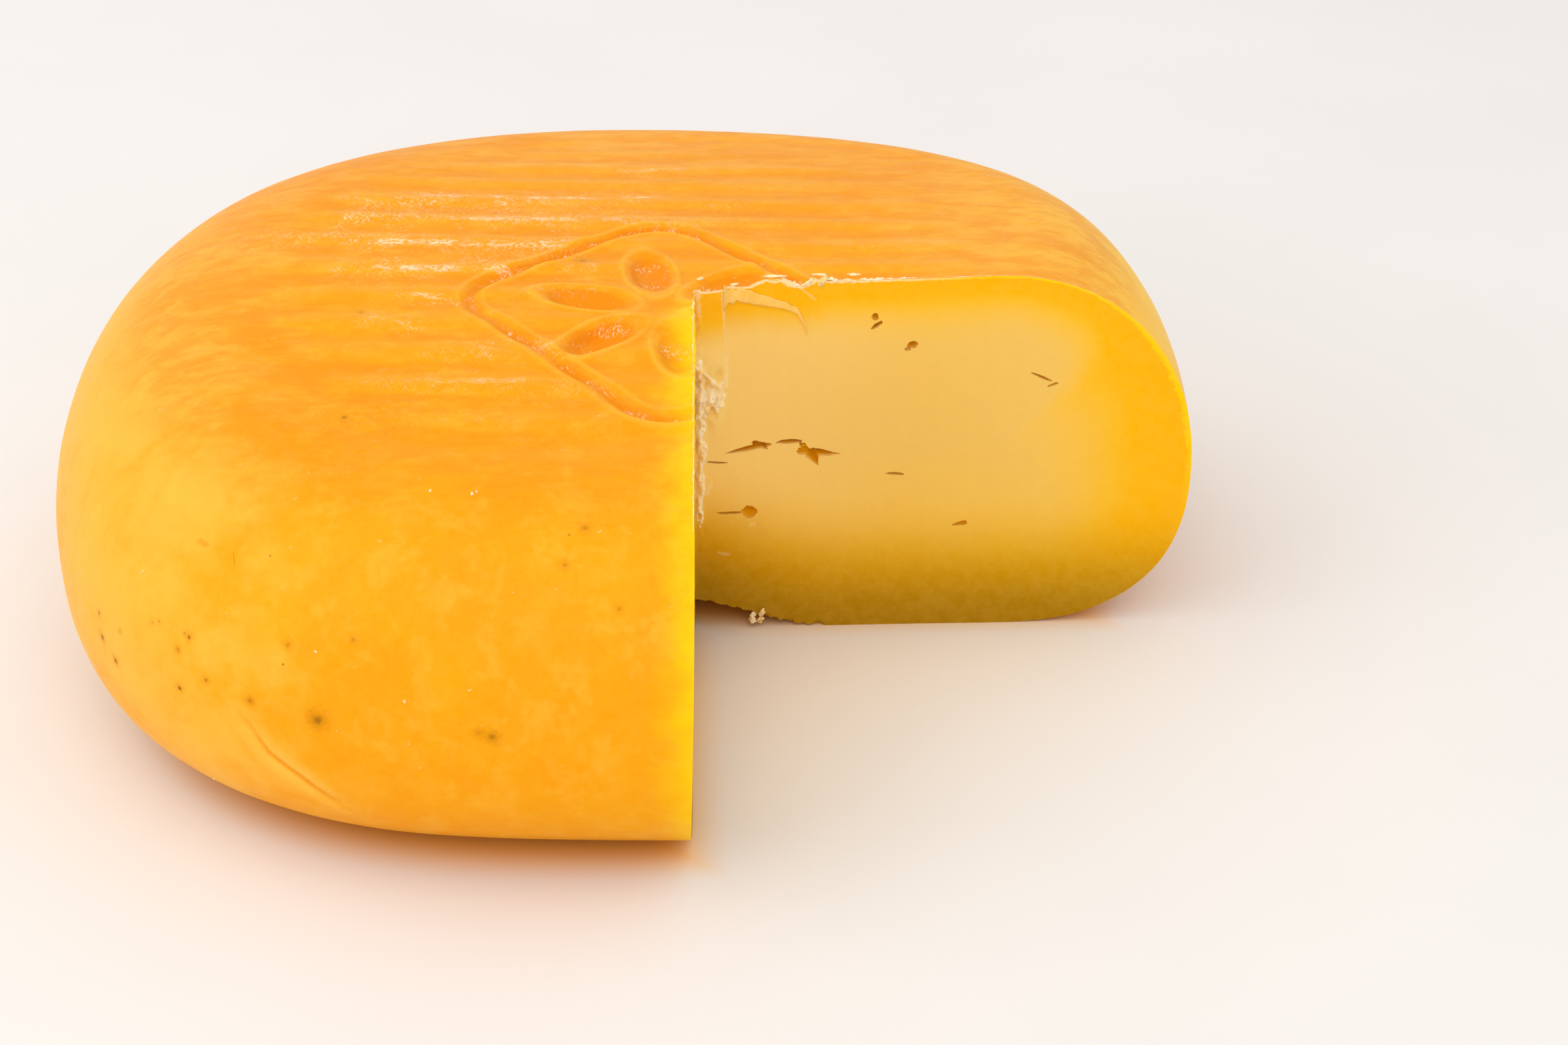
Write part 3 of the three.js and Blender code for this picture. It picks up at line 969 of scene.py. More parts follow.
def add_burr(bm, side, start, end, step, thickness_at):
    rings = round((end - start) / step)
    verts = bmesh.ops.create_grid(bm, x_segments=rings, y_segments=BURR_SIDES, size=1)["verts"]
    edge = [edge_above(side, mix(start, end, ring / rings)) for ring in range(rings + 1)]
    for vert in verts:
        ring = round((vert.co.x + 1) / 2 * rings)
        around = (vert.co.y + 1) / 2 * TURN
        hit, normal = edge[ring]
        along = mix(start, end, ring / rings) / MM
        direction = normal * math.cos(around) + OUT[side] * math.sin(around)
        coarse = noise.noise(Vector((along / 1.7, side * 5, 0)) + direction * 0.5)
        fine = noise.noise(Vector((along / 0.45, side * 9, 0)) + direction * 1.2)
        radius = thickness_at(along) * max(0.5 + 1.6 * coarse + 1.0 * fine, 0.1)
        radius *= math.sin(math.pi * ring / rings) ** 0.1 if 0 < ring < rings else 0
        sway = thickness_at(along) * 0.3 * noise_at(along / 2.6, 3, side)
        vert.co = hit + direction * radius + normal * sway - OUT[side] * BURR_SINK * MM
    bmesh.ops.remove_doubles(bm, verts=verts, dist=2 * WELD)


def right_burr(along):
    busy = bell((along - 24.5) / 5) + 0.25 * bell((along - 36) / 6)
    return (0.14 + 0.85 * busy) * MM * (1 - 0.7 * smoothstep(along, 42, 66))


def left_burr(along):
    return (0.16 + 0.16 * bell((along - 6) / 12)) * MM


bm = bmesh.new()
add_burr(bm, RIGHT, LEDGE_WIDTH, 88 * MM, 0.22 * MM, right_burr)
add_burr(bm, LEFT, 3.2 * MM, 84 * MM, 0.25 * MM, left_burr)
face_outwards(bm)
crumb_material = bpy.data.materials.new("crumb")
burr = piece_from(bm, "edge_burr", crumb_material)
print("burr", len(burr.data.polygons), "faces")

# %% [markdown]
# The rags are a fine sheet over the corner. Its relief has three parts: a curtain that hangs
# along the corner itself, a torn shelf below the ledge with a ragged hem, and the slanting line
# where the shelf tore off. Everywhere else the sheet dips under the cut, so only the torn parts
# show. A copy pushed back into the cheese closes it. Places and heights here are in millimetres.


# %% Rags in the corner
def curtain(along, height):
    band = smoothstep(height, 20, 34) * (1 - smoothstep(height, 60, 66))
    middle = 0.9 + 0.7 * noise_at(0.5, height / 4, 4)
    width = 0.75 + 0.6 * noise_at(2.5, height / 2.2, 4)
    tatter = 0.9 + 0.8 * noise_at(along / 0.9, height / 1.6, 2)
    tatter += 0.4 * noise_at(along / 0.4, height / 0.5, 7)
    return 1.4 * band * tatter * bell((along - middle) / width)


def torn_shelf(along, height):
    hem = 49.5 + 2.8 * noise_at(along / 1.3, 1, 6) + 0.45 * along
    reach = 1 - smoothstep(along, 4.4 + 2 * noise_at(height / 1.5, 5, 1), 6.8)
    drop = smoothstep(height, hem - 0.35, hem + 0.5) * (1 - smoothstep(height, hem + 3, hem + 8.5))
    tatter = 0.75 + 0.8 * noise_at(along / 1.1, height / 1.5, 9)
    tatter += 0.6 * noise_at(along / 0.4, height / 0.6, 3)
    return 1.1 * reach * drop * tatter


def diagonal_tear(along, height):
    line = 63 - 1.25 * along + 0.5 * noise_at(along, 3, 3)
    return 0.75 * bell((height - line) / 0.55) * (1 - smoothstep(along, 5, 6.4))


RAGS_BOTTOM, RAGS_TOP = 21, 69
RAGS_BACKING = 1.5

bm = bmesh.new()
bmesh.ops.create_grid(bm, x_segments=36, y_segments=220, size=1)
for vert in bm.verts:
    height = mix(RAGS_BOTTOM, RAGS_TOP, (vert.co.y + 1) / 2)
    reach = mix(2.3, 7.4, smoothstep(height, 45, 47))
    along = mix(-0.1, reach, (vert.co.x + 1) / 2)
    relief = curtain(along, height) + torn_shelf(along, height) + diagonal_tear(along, height) - 0.3
    proud = cut_proud(RIGHT, max(along, 0) * MM, height * MM) + relief * MM
    vert.co = on_cut(RIGHT, along * MM, height * MM, proud)
backing = bmesh.ops.extrude_face_region(bm, geom=bm.faces[:], use_keep_orig=True)["geom"]
bmesh.ops.translate(bm, vec=OUT[RIGHT] * -RAGS_BACKING * MM, verts=vertices_in(backing))
face_outwards(bm)
rags = piece_from(bm, "torn_rags", crumb_material)
print("rags", len(rags.data.polygons), "faces")

# %% [markdown]
# A few crumbs lie elsewhere. A cluster hangs from the lower edge of the right cut, tiny dry ones
# stick to the side of the wheel, and flat ones lie on top beside the burr. Each is a rough ball,
# stretched and turned.

# %% Loose crumbs
# (distance from the corner, distance behind the edge, length, turn in degrees)
EDGE_CHIPS = (
    (16.1, 1.6, 4.4, -3),
    (8.2, 1.3, 1.8, 10),
    (25.4, 3.2, 3.4, 2),
    (32.5, 3.0, 2.4, -4),
    (1.2, 1.4, 1.6, 30),
)
HANGING_CRUMBS = 12
# places measured from the wheel's axis
SIDE_CRUMBS = (
    (-89.8, -79.8, 54.3),
    (-26.6, -82.5, 71.4),
    (-27.5, -83, 71.3),
    (-35.2, -82.1, 71.4),
    (-79.1, -86.2, 12.1),
    (-39.5, -110.2, 43.2),
    (-55.6, -103.9, 50.3),
)


def add_crumb(bm, place, size, stretch, seed):
    verts = add_rough_ball(bm, 3, 0.7, seed)
    turn = Matrix.Rotation(seed * 1.7, 3, Vector((seed % 3, 1, 0.4)))
    bmesh.ops.scale(bm, vec=Vector(stretch) * size, verts=verts)
    bmesh.ops.rotate(bm, matrix=turn, verts=verts)
    bmesh.ops.translate(bm, vec=place, verts=verts)


bm = bmesh.new()
for number in range(HANGING_CRUMBS):
    along = draw.uniform(11.2, 13.4) * MM
    height = draw.uniform(0.8, 3.6) * MM
    place = on_cut(RIGHT, along, height, draw.uniform(-0.4, 0.4) * MM)
    add_crumb(bm, place, draw.uniform(0.4, 0.8) * MM, (0.8, 0.7, 1.2), number + 30)
for number, point in enumerate(SIDE_CRUMBS):
    hit, normal, _, _ = skin_tree.find_nearest(AXIS + Vector(point) * MM)
    add_crumb(bm, hit, draw.uniform(0.2, 0.3) * MM, (1, 0.9, 1.3), number + 60)
for number, (along, behind, length, tilt) in enumerate(EDGE_CHIPS):
    edge, normal = edge_above(RIGHT, along * MM)
    verts = add_rough_ball(bm, 3, 0.6, number + 80)
    bmesh.ops.scale(bm, vec=Vector((length / 2, 0.45, 0.22)) * MM, verts=verts)
    bmesh.ops.rotate(bm, matrix=Matrix.Rotation(math.radians(tilt), 3, "Z"), verts=verts)
    place = skin_tree.find_nearest(edge - OUT[RIGHT] * behind * MM)[0]
    bmesh.ops.translate(bm, vec=place, verts=verts)
face_outwards(bm)
crumbs = piece_from(bm, "loose_crumbs", crumb_material)
print("crumbs", len(crumbs.data.polygons), "faces")

# %% [markdown]
# The knife also smeared a thin tongue of paste over the top of the right cut, from the ledge
# outwards. It is a strip that follows a few stations and narrows to a thread. Drawing a copy of
# the strip outwards gives it its thickness, and its edges stay crisp.

# %% The smear
# (distance from the corner, lower height, upper height)
SMEAR = (
    (5.9, 74.4, 79.5),
    (7.3, 75.5, 78.7),
    (8.4, 75.7, 78.3),
    (9.2, 75.6, 79.0),
    (13, 74.9, 77.6),
    (18.4, 74, 75.6),
    (20.8, 72.8, 74.4),
    (22.1, 70.6, 71.8),
    (22.8, 68, 68.5),
)
SMEAR_THICKNESS = 0.22 * MM


def smear_station(share):
    at = share * (len(SMEAR) - 1)
    first = min(int(at), len(SMEAR) - 2)
    return [mix(a, b, at - first) for a, b in zip(SMEAR[first], SMEAR[first + 1])]


bm = bmesh.new()
bmesh.ops.create_grid(bm, x_segments=60, y_segments=6, size=0.5)
for vert in bm.verts:
    along, low, high = smear_station(vert.co.x + 0.5)
    outer = abs(2 * vert.co.y) ** 3
    ragged = noise_at(along * 1.1, math.copysign(1, vert.co.y), 2)
    height = mix(low, high, vert.co.y + 0.5) + 0.3 * (high - low) * outer * ragged
    curl = 0.14 * noise_at(along * 0.4, height * 0.4, 8) + 0.06
    vert.co = (along * MM, height * MM, cut_proud(RIGHT, along * MM, height * MM) + curl * MM)
every_axis = {"use_axis_x": True, "use_axis_y": True, "use_axis_z": True}
bmesh.ops.smooth_vert(bm, verts=bm.verts, factor=0.5, **every_axis)
front = bmesh.ops.extrude_face_region(bm, geom=bm.faces[:], use_keep_orig=True)["geom"]
bmesh.ops.translate(bm, vec=(0, 0, SMEAR_THICKNESS), verts=vertices_in(front))
for vert in bm.verts:
    vert.co = on_cut(RIGHT, *vert.co)
face_outwards(bm)
smear_material = bpy.data.materials.new("smeared_paste")
smear = piece_from(bm, "smear", smear_material)
print("smear", len(smear.data.polygons), "faces")

# %% [markdown]
# ## Shared effects
#
# The finishes of the cheese need soft clouds of colour, spots of a given place and size, and
# thin strokes such as scratches. Each of these is a node group, built once. The clouds are two
# sizes of noise. A spot is a distance to a centre that noise has made uneven, and a stroke is the
# same with the distance to a line between two points.


# %% Build the node groups
VECTOR, NUMBER = "NodeSocketVector", "NodeSocketFloat"


def new_group(name, **inputs):
    """A group that puts out one mask, with its given values and the place for its result."""
    group = bpy.data.node_groups.new(name, "ShaderNodeTree")
    for label, kind in inputs.items():
        group.interface.new_socket(name=label, in_out="INPUT", socket_type=kind)
    group.interface.new_socket(name="Mask", in_out="OUTPUT", socket_type=NUMBER)
    entry = group.nodes.new("NodeGroupInput")
    leave = group.nodes.new("NodeGroupOutput")
    return group, entry.outputs, leave


def mask_from(group, vector, *values):
    inputs = dict(enumerate((vector, *values)))
    return add_node(vector.id_data, "Group", {"node_tree": group}, inputs).outputs["Mask"]


def vector_node(operation, first, second, output="Vector"):
    inputs = {0: first, 1: second}
    node = add_node(first.id_data, "VectorMath", {"operation": operation}, inputs)
    return node.outputs[output]


clouds, given, leave = new_group("clouds", Vector=VECTOR, Scale=NUMBER, Contrast=NUMBER)
broad = noise_node(given["Vector"], given["Scale"], 2.5, 0.55, 0.6)
fine = noise_node(given["Vector"], times(given["Scale"], 3.6), 4.0, 0.6, 0.3)
half = calculate("DIVIDE", 0.5, given["Contrast"])
both = plus(times(broad, 0.65), times(fine, 0.35))
set_inputs(leave, {0: remap(both, minus(0.5, half), plus(0.5, half))})

spot, given, leave = new_group("spot", Vector=VECTOR, Centre=VECTOR, Radius=NUMBER)
wobble = noise_node(given["Vector"], 1300.0, 2.0)
gap = vector_node("DISTANCE", given["Vector"], given["Centre"], "Value")
uneven = plus(calculate("DIVIDE", gap, given["Radius"]), times(minus(wobble, 0.5), 0.9))
set_inputs(leave, {0: remap(uneven, 0.1, 1.2, 1.0, 0.0)})

stroke, given, leave = new_group("stroke", Vector=VECTOR, Start=VECTOR, End=VECTOR, Width=NUMBER)
run = vector_node("SUBTRACT", given["End"], given["Start"])
offset = vector_node("SUBTRACT", given["Vector"], given["Start"])
reached = vector_node("DOT_PRODUCT", offset, run, "Value")
reached = calculate("DIVIDE", reached, vector_node("DOT_PRODUCT", run, run, "Value"))
reached = calculate("MINIMUM", highest(reached, 0.0), 1.0)
gap = vector_node("DISTANCE", offset, vector_node("MULTIPLY", run, reached), "Value")
wobble = noise_node(given["Vector"], 900.0, 2.0)
uneven = plus(calculate("DIVIDE", gap, given["Width"]), wobble)
set_inputs(leave, {0: remap(uneven, 0.8, 1.5, 1.0, 0.0)})


def attribute(tree, name):
    return add_node(tree, "Attribute", {"attribute_name": name}).outputs["Fac"]


def scaled(vector, *scale):
    return add_node(vector.id_data, "Mapping", (), {"Vector": vector, "Scale": scale}).outputs[0]


# %% [markdown]
# ## The rind
#
# The coat is a thin, slightly glossy film over the paste, coloured a strong orange. Its colour
# is cloudy, from deep orange to a paler yellow orange, and light gets a little way into it. It is
# painted paler on the left, at the back and on the right shoulder, as sheen where the coat is
# seen at a slant, and the right shoulder gets a painted rim light as well. Along the foot it is
# painted darker, as shade where the wheel meets the floor. Each layer of colour is laid over the
# last through its masks.

# %% Ground colours of the rind
DEEP_ORANGE = (0.90, 0.33, 0.0, 1)
WARM_ORANGE = (0.91, 0.38, 0.0, 1)
PALE_ORANGE = (0.95, 0.49, 0.045, 1)
PALE_YELLOW = (0.95, 0.50, 0.06, 1)
CLEAR_YELLOW = (1.0, 0.64, 0.0, 1)
RIM_LIGHT_YELLOW = (1.0, 0.64, 0.065, 1)
FOOT_SHADE_OCHRE = (0.54, 0.20, 0.0, 1)

tree, shader, where = open_material(rind)
x, y, z = axes(where)
ground = mix_colours(mask_from(clouds, where, 34.0, 2.2), DEEP_ORANGE, WARM_ORANGE)
veins = mask_from(clouds, scaled(where, 1, 1, 0.8), 150.0, 1.9)
ground = layer(ground, PALE_ORANGE, remap(veins, 0.42, 1.0), 0.42)
ground = layer(ground, PALE_ORANGE, mask_from(clouds, where, 330.0, 2.2), 0.2)
high = remap(z, 0.028, 0.068)
to_left = remap(x, -0.035, -0.105)
to_right = times(remap(x, 0.03, 0.085), remap(high, 0.0, 1.0, 0.35, 1.0))
to_back = remap(y, 0.02, 0.09, 0.0, 0.6)
# Painted sheen: the coat is paler where it is seen at a slant, on the left, at the back and on the
# right shoulder.
slant_sheen = plus(highest(to_left, to_right, to_back), mask_from(clouds, where, 60.0, 2.0))
ground = layer(ground, PALE_YELLOW, remap(slant_sheen, 0.6, 1.6, 0.0, 0.7))
# Painted rim light: the right shoulder is brighter and yellower.
patches = remap(mask_from(clouds, where, 70.0, 2.0), 0.0, 1.0, 0.55, 1.0)
ground = layer(ground, RIM_LIGHT_YELLOW, remap(x, 0.055, 0.115, 0.0, 0.85), high, patches)
# Painted shade along the foot, where the wheel meets the floor.
ground = layer(ground, FOOT_SHADE_OCHRE, remap(z, 0.001, 0.011, 0.8, 0.0))

# %% [markdown]
# The ridges run along X, so their noise is stretched along X too. The stamp is a deeper
# orange in its hollows and paler on its lips, where the coat is stretched thin.

# %% Ridges and stamp
TROUGH_ORANGE = (0.84, 0.26, 0.0, 1)

on_top = remap(z, 0.066, 0.077)
crest = attribute(tree, "ridge_crest")
pressed = attribute(tree, "stamp_relief")
smudges = mask_from(clouds, scaled(where, 0.35, 1, 1), 170.0, 3.4)
leather = mask_from(clouds, scaled(where, 0.6, 1, 1), 420.0, 2.6)
trough = times(remap(crest, 0.0, 0.3, 1.0, 0.0), on_top)
ground = layer(ground, TROUGH_ORANGE, trough, remap(smudges, 0.0, 1.0, 0.2, 1.0), 0.6)
ground = layer(ground, TROUGH_ORANGE, on_top, leather, 0.35)
ground = layer(ground, TROUGH_ORANGE, remap(pressed, -0.8, -0.1, 1.0, 0.0), 0.85)
ground = layer(ground, PALE_ORANGE, remap(pressed, 0.02, 0.45), 0.5)

# %% [markdown]
# Where the coat has dried it has a bloom of short pale strokes, crossed like scuffs. The pale
# strokes also stand for glints of light on the coat, so they are partly painted highlights. They
# are noise stretched along two slanting directions. They gather in one broad patch of the top and
# in the hollows of the stamp. Where the wheel lay on a slat, along the crests, they close up into
# pale broken lines. Those lines are listed one by one, and a few stray strokes lie anywhere.

# %% Dry flecks and painted glints
BLOOM_AND_GLINT_WHITE = (1.0, 0.80, 0.54, 1)
# (start, end, strength), with places on the top measured from the wheel's axis
BLOOM_AND_GLINT_LINES = (
    ((-43, 38), (4, 38), 1.0),
    ((-40, 24.6), (-2, 24.2), 0.9),
    ((-52, 12), (-13, 10.6), 1.0),
    ((-50, -0.4), (-25, -1.4), 0.9),
    ((-42, -12.5), (-36, -14), 0.8),
    ((-50, -23), (-43, -24.5), 0.6),
    ((-27, -35.5), (-15, -35.6), 0.6),
    ((-42, -46.7), (-20, -46.9), 0.4),
    ((-1, 57.4), (11, 57.2), 0.5),
)
ABOVE_TOP = 80


def on_skin(place):
    """The point of the skin nearest to a place given in millimetres from the wheel's axis."""
    return skin_tree.find_nearest(AXIS + Vector(place) * MM)[0]


def strokes(vector, angle, scale):
    inputs = {"Vector": vector, "Rotation": (0, 0, angle), "Scale": (3.0, 0.6, 1)}
    turned = add_node(vector.id_data, "Mapping", {"vector_type": "TEXTURE"}, inputs)
    return noise_node(turned.outputs[0], scale, 3.0, 0.65)


hatch = remap(highest(strokes(where, 1.15, 1500.0), strokes(where, -1.0, 1400.0)), 0.56, 0.66)
grit = remap(noise_node(scaled(where, 0.7, 1.2, 1), 1300.0, 3.0, 0.7), 0.44, 0.56)
gaps = noise_node(scaled(where, 0.6, 1.3, 1), 190.0, 3.0, 0.6)
broken = remap(gaps, 0.42, 0.6, 0.05, 0.85)
patch = {"Vector": where, "Location": (0.78, -0.78, 0), "Scale": (22, 31, 0)}
patch = vector_node("LENGTH", add_node(tree, "Mapping", (), patch).outputs[0], (0, 0, 0), "Value")
fleck_clouds = remap(mask_from(clouds, scaled(where, 0.7, 1, 1), 60.0, 3.5), 0.45, 0.8)
fleck = times(hatch, remap(crest, 0.05, 0.7, 0.3, 0.8), fleck_clouds)
fleck = times(fleck, remap(patch, 0.55, 1.35, 1.0, 0.2), on_top)
for start, end, strength in BLOOM_AND_GLINT_LINES:
    ends = [on_skin((*point, ABOVE_TOP)) for point in (start, end)]
    narrow = times(mask_from(stroke, where, *ends, 1.7 * MM), grit, broken)
    wide = times(mask_from(stroke, where, *ends, 6.5 * MM), hatch, broken, 0.6)
    fleck = highest(fleck, times(highest(narrow, wide), strength))
stray = remap(strokes(where, 0.4, 800.0), 0.71, 0.76)
in_stamp = times(hatch, remap(pressed, -1.0, -0.35, 1.0, 0.0), remap(smudges, 0.3, 0.7))
fleck = highest(fleck, times(stray, 0.6), times(in_stamp, 0.9))
# The pale flecks are partly dry bloom and partly painted glints of light.
ground = layer(ground, BLOOM_AND_GLINT_WHITE, fleck, 0.95)

# %% [markdown]
# Beside the left cut the coat is only a thin edge. Light comes through it there, so it glows in a
# clear yellow for about a centimetre.

# %% The edge that light comes through
in_front = remap(y, CORNER.y - 0.016, CORNER.y - 0.004, 1.0, 0.0)
cut_gap = plus(minus(CORNER.x, x), times(mask_from(clouds, where, 90.0, 2.0), 0.005))
edge_light = remap(cut_gap, 0.0, 0.012, 1.0, 0.0)
ground = layer(ground, CLEAR_YELLOW, edge_light, in_front, 0.95)

# %% [markdown]
# Small brown specks have grown on the skin, most of them low on the left side. Each is a dark
# middle in a softer halo. Specks grow nowhere in particular, so they are listed one by one.

# %% Brown specks
# (place from the wheel's axis, size, strength of the dark middle, strength of the halo)
SPECKS = (
    ((-100.5, -71.9, 40.9), 0.8, 0.5, 0.5),
    ((-100.1, -72.8, 36.1), 1.1, 0.9, 0.6),
    ((-97.2, -77, 33.3), 1.1, 0.9, 0.6),
    ((-80.1, -92.3, 47.1), 0.8, 0.8, 0.5),
    ((-81.2, -91.6, 47.6), 0.5, 0.5, 0.3),
    ((-82.5, -91.3, 44), 0.8, 0.3, 0.6),
    ((-82.8, -91.9, 36), 0.9, 0.95, 0.5),
    ((-77.1, -95.9, 40), 0.8, 0.6, 0.5),
    ((-68.9, -101.6, 38.4), 1.0, 0.4, 0.7),
    ((-56, -106.8, 37.4), 1.9, 0.6, 0.8),
    ((-23.8, -112.8, 36.9), 1.3, 0.45, 0.7),
    ((-26.3, -112.3, 37.6), 1.0, 0.2, 0.5),
    ((-86.5, -87.2, 47.6), 0.6, 0.4, 0.3),
    ((-88, -86.1, 46.8), 0.6, 0.4, 0.3),
    ((-95.5, -79.2, 41), 0.7, 0.3, 0.4),
    ((-61.8, -102.8, 47.1), 0.45, 1.0, 0.0),
    ((-60.8, -101.8, 50.6), 0.9, 0.3, 0.5),
    ((-48.6, -104.5, 53.1), 0.8, 0.3, 0.5),
    ((-6.6, -91.4, 68.3), 1.1, 0.3, 0.6),
    ((-9.5, -92.8, 67.6), 0.5, 0.7, 0.0),
    ((-10.3, -98.3, 64.4), 0.9, 0.3, 0.5),
    ((-0.4, -104.9, 58.8), 0.8, 0.3, 0.4),
    ((-52.7, -58.1, 75), 1.0, 0.5, 0.5),
    ((-64.3, -90.4, 62.9), 0.4, 0.9, 0.0),
    ((-52.2, -19.2, 79.7), 0.9, 0.4, 0.4),
    ((-8.6, 2.6, 80.6), 1.8, 0.3, 0.5),
)
HALO_SHARE = 1.8
CORE_SHARE = 0.6
SPECK_BROWN = (0.20, 0.07, 0.002, 1)
SPECK_OCHRE = (0.66, 0.25, 0.0, 1)

for centre, size, dark, soft in SPECKS:
    middle = on_skin(centre)
    halo = mask_from(spot, where, middle, size * HALO_SHARE * MM)
    core = mask_from(spot, where, middle, size * CORE_SHARE * MM)
    ground = layer(ground, SPECK_OCHRE, halo, soft)
    ground = layer(ground, SPECK_BROWN, core, dark)

# %% [markdown]
# The crease has a fine dark line of painted shade in its bottom, and the coat beside it is worn
# paler. A hair-thin fibre sticks to the side, and a dash of deeper orange lies near it.

# %% Lines on the rind
CREASE_SHADE_BROWN = (0.84, 0.29, 0.0, 1)
# (start, end, width, colour, strength), with places measured from the wheel's axis
LINES = (
    ((-71.9, -88.2, 62.9), (-71, -89.2, 60.6), 0.15, SPECK_BROWN, 0.4),
    ((-78.3, -83, 62.4), (-76.9, -84, 62), 1.0, TROUGH_ORANGE, 0.5),
)

crease = calculate("ABSOLUTE", attribute(tree, "crease_offset"), 0.0)
along_crease = mask_from(spot, where, on_skin((-62, -103, 24.5)), 17 * MM)
ground = layer(ground, PALE_YELLOW, remap(crease, 0.8, 4.5, 1.0, 0.0), along_crease, 0.9)
# Painted shade: a dark line along the bottom of the crease.
ground = layer(ground, CREASE_SHADE_BROWN, remap(crease, 0.05, 0.9, 1.0, 0.0), along_crease, 0.85)
for start, end, width, colour, strength in LINES:
    line = mask_from(stroke, where, on_skin(start), on_skin(end), width * MM)
    ground = layer(ground, colour, line, strength)

# %% [markdown]
# The gloss is soft and uneven. The bump has three sizes: fine pores, a leathery wrinkle
# that follows the ridges on top, and the dry flecks, which stand up a little.

# %% Gloss and bump of the rind
wrinkle = noise_node(scaled(where, 0.4, 1, 1), 420.0, 4.0, 0.6, 0.4)
height = plus(times(noise_node(where, 2600.0, 2.0), 0.12), wrinkle, times(fleck, 0.5))
rind_finish = {
    "Base Color": ground,
    "Roughness": plus(remap(wrinkle, 0.3, 0.7, 0.36, 0.5), times(fleck, 0.3)),
    "Normal": bump_node(height, 0.35, 0.0004),
    "Specular IOR Level": 0.06,
    "Coat Weight": 0.05,
    "Coat Roughness": 0.4,
    "Subsurface Weight": 0.15,
    "Subsurface Radius": (1, 0.6, 0.2),
    "Subsurface Scale": 1 * MM,
}
set_inputs(shader, rind_finish)

# %% [markdown]
# ## The paste
#
# Fresh paste is a warm cream. Under the rind it has dried, so it turns a deep
# translucent yellow for about a centimetre, and at the very edge the cut coat is a pale line half
# a millimetre wide. A colour ramp over the depth under the rind gives the cream and the yellow.
# The yellow is partly the paste's own colour and partly a painted glow of light that comes in
# through the thin edge. The cream is darker and warmer than lit paste, because the shade and the
# warm bounced light of the notch are painted into it. The ledge stands proud of the cut, and it
# counts as less deep.

# %% Depth colours of the paste
RAMP_LENGTH = 15
# The yellow stops are partly a painted glow of light through the edge, and the cream stops have the
# notch's shade and warm bounced light painted in.
# (depth in millimetres, colour)
DEPTH_COLOURS = (
    (0, (0.97, 0.46, 0.0, 1)),
    (4.0, (0.97, 0.48, 0.0, 1)),
    (5.8, (0.95, 0.52, 0.02, 1)),
    (8, (0.92, 0.54, 0.06, 1)),
    (11, (0.89, 0.55, 0.10, 1)),
    (15, (0.86, 0.55, 0.125, 1)),
)

tree, shader, where = open_material(paste)
x, y, z = axes(where)
rind_depth = attribute(tree, "rind_depth")
depth = plus(rind_depth, times(minus(noise_node(where, 70.0, 2.0), 0.5), 2.0))
beside_ledge = remap(x, CORNER.x + 0.006, CORNER.x + 0.0065, 1.0, 0.0)
before_ledge = remap(y, CORNER.y - 0.005, CORNER.y - 0.004)
depth = minus(depth, times(beside_ledge, before_ledge, remap(z, 0.062, 0.066), 2.0))
ramp = add_node(tree, "ValToRGB", (), {"Fac": calculate("DIVIDE", depth, RAMP_LENGTH)})
stops = ramp.color_ramp.elements
while len(stops) < len(DEPTH_COLOURS):
    stops.new(0.5)
for stop, (millimetres, colour) in zip(stops, DEPTH_COLOURS):
    stop.position = millimetres / RAMP_LENGTH
    stop.color = colour

# %% [markdown]
# Over that ground the paste is paler near the corner, where the eye sees the torn side of it, and
# darker towards the base, partly from its own deeper colour there and partly as painted shade of
# the notch. Inside an eye the light has bounced from wall to wall, so the colour is deeper there.
# Last come pale lines on the right cut: the borders of the ledge and a few scratches.

# %% Layers of the paste
PALE_EDGE = (0.98, 0.80, 0.46, 1)
GRAIN_CREAM = (1.0, 0.70, 0.12, 1)
HOLLOW_YELLOW = (0.94, 0.52, 0.0, 1)
BASE_BROWN_AND_SHADE = (0.36, 0.185, 0.0, 1)
CORNER_CREAM = (1.0, 0.74, 0.28, 1)
# (start, end, width, strength), with each end as a distance from the corner and a height
SCRATCHES = (
    ((0.5, 79), (0.7, 57), 1.1, 0.45),
    ((6.0, 78), (6.3, 57), 0.8, 0.4),
    ((21, 79), (24.5, 76), 0.4, 0.22),
    ((3, 34.5), (2.2, 32), 0.6, 0.3),
    ((11, 24.4), (11.9, 24.7), 0.5, 0.2),
    ((4.4, 18), (6.6, 17.5), 0.5, 0.2),
)

near_corner = remap(x, CORNER.x + 0.002, CORNER.x + 0.05, 0.55, 0.0)
near_base = remap(attribute(tree, "above_base"), 0.0, 34.0, 0.96, 0.0)
edge_width = times(noise_node(where, 900.0, 3.0), 0.9)
pale_edge = remap(minus(rind_depth, edge_width), -0.25, 0.15, 1.0, 0.0)
edge_colour = mix_colours(remap(x, 0.045, 0.075), PALE_EDGE, CLEAR_YELLOW)
hollow = remap(attribute(tree, "hollow_depth"), 0.35, 1.6)
colour = layer(ramp.outputs["Color"], CORNER_CREAM, near_corner, remap(depth, 5.0, 12.0))
# Darker towards the base: partly the paste's own deeper colour, partly painted shade of the notch.
colour = layer(colour, BASE_BROWN_AND_SHADE, calculate("POWER", near_base, 1.4))
colour = layer(colour, edge_colour, pale_edge, times(remap(z, 0.02, 0.05), 0.9))
colour = layer(colour, GRAIN_CREAM, mask_from(clouds, where, 420.0, 2.6), 0.10)
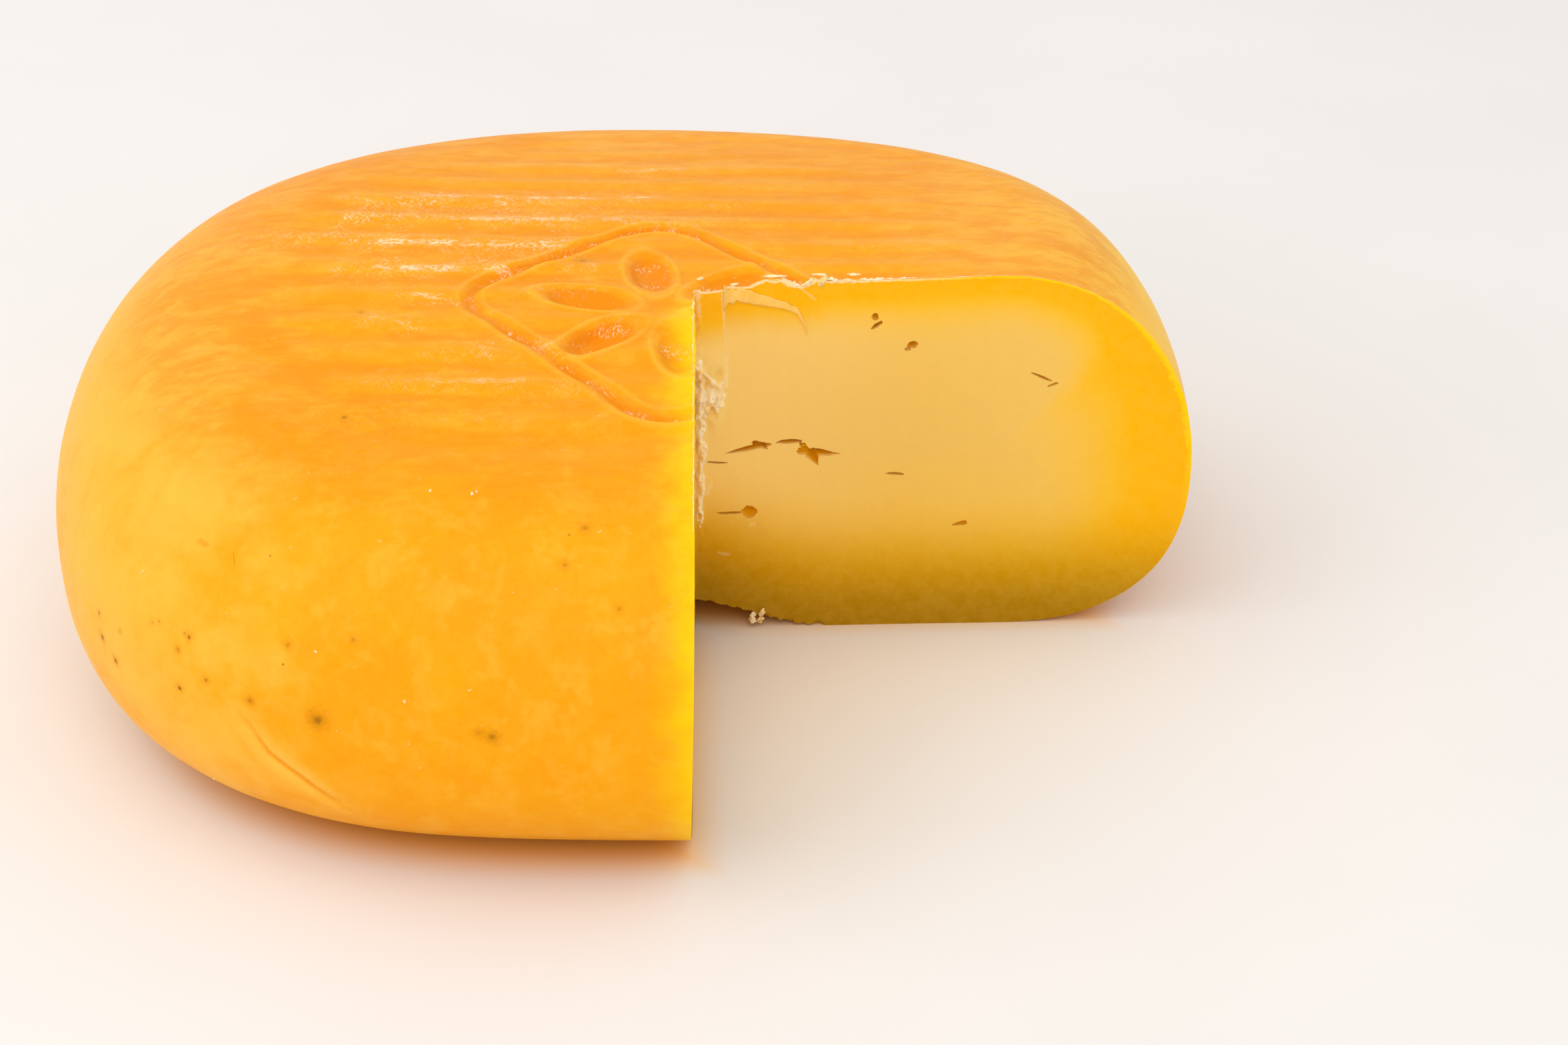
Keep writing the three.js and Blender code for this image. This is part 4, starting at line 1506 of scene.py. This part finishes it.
colour = layer(colour, HOLLOW_YELLOW, hollow, 0.95)
for *points, width, strength in SCRATCHES:
    places = [(along * MM, height * MM) for along, height in points]
    ends = [on_cut(RIGHT, *place, cut_proud(RIGHT, *place)) for place in places]
    colour = layer(colour, PALE_EDGE, mask_from(stroke, where, *ends, width * MM), strength)

# %% Gloss and bump of the paste
curd = noise_node(where, 1300.0, 3.0, 0.6)
streaks = noise_node(scaled(where, 1, 1, 0.12), 500.0, 2.0)
paste_finish = {
    "Base Color": colour,
    "Roughness": remap(curd, 0.3, 0.7, 0.5, 0.62),
    "Normal": bump_node(plus(times(curd, 0.6), times(streaks, 0.5)), 0.3, 0.0003),
    "Specular IOR Level": 0.06,
    "Subsurface Weight": 0.2,
    "Subsurface Radius": (1, 0.7, 0.4),
    "Subsurface Scale": 1 * MM,
}
set_inputs(shader, paste_finish)

# %% [markdown]
# ## The crumbs and the smear
#
# A crumb is paste that has been torn open, so it is paler and duller than a cut face. The
# smear is a thin film of paste, so it keeps more of the yellow below it. Both finishes have the
# same build, and only their two colours differ.


# %% Colour of crumbs and smear
def finish_loose_paste(material, dense, pale):
    _, shader, where = open_material(material)
    finish = {
        "Base Color": mix_colours(mask_from(clouds, where, 320.0, 3.4), dense, pale),
        "Roughness": 0.6,
        "Normal": bump_node(noise_node(where, 3000.0), 0.4, 0.0002),
        "Specular IOR Level": 0.15,
        "Subsurface Weight": 0.2,
        "Subsurface Radius": (1, 0.8, 0.5),
        "Subsurface Scale": 0.3 * MM,
    }
    set_inputs(shader, finish)


finish_loose_paste(crumb_material, (0.97, 0.66, 0.24, 1), (1.0, 0.87, 0.60, 1))
finish_loose_paste(smear_material, (0.97, 0.56, 0.09, 1), (0.98, 0.64, 0.18, 1))

# %% [markdown]
# ## The pieces on the body
#
# Every piece rides on the cheese's one body. The carved wheel and all that sticks to it stand
# for the CAD solid.

# %% Put the pieces on the body
for piece in (wheel, burr, rags, crumbs, smear):
    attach(piece, "root")
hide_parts("cheese_wheel")
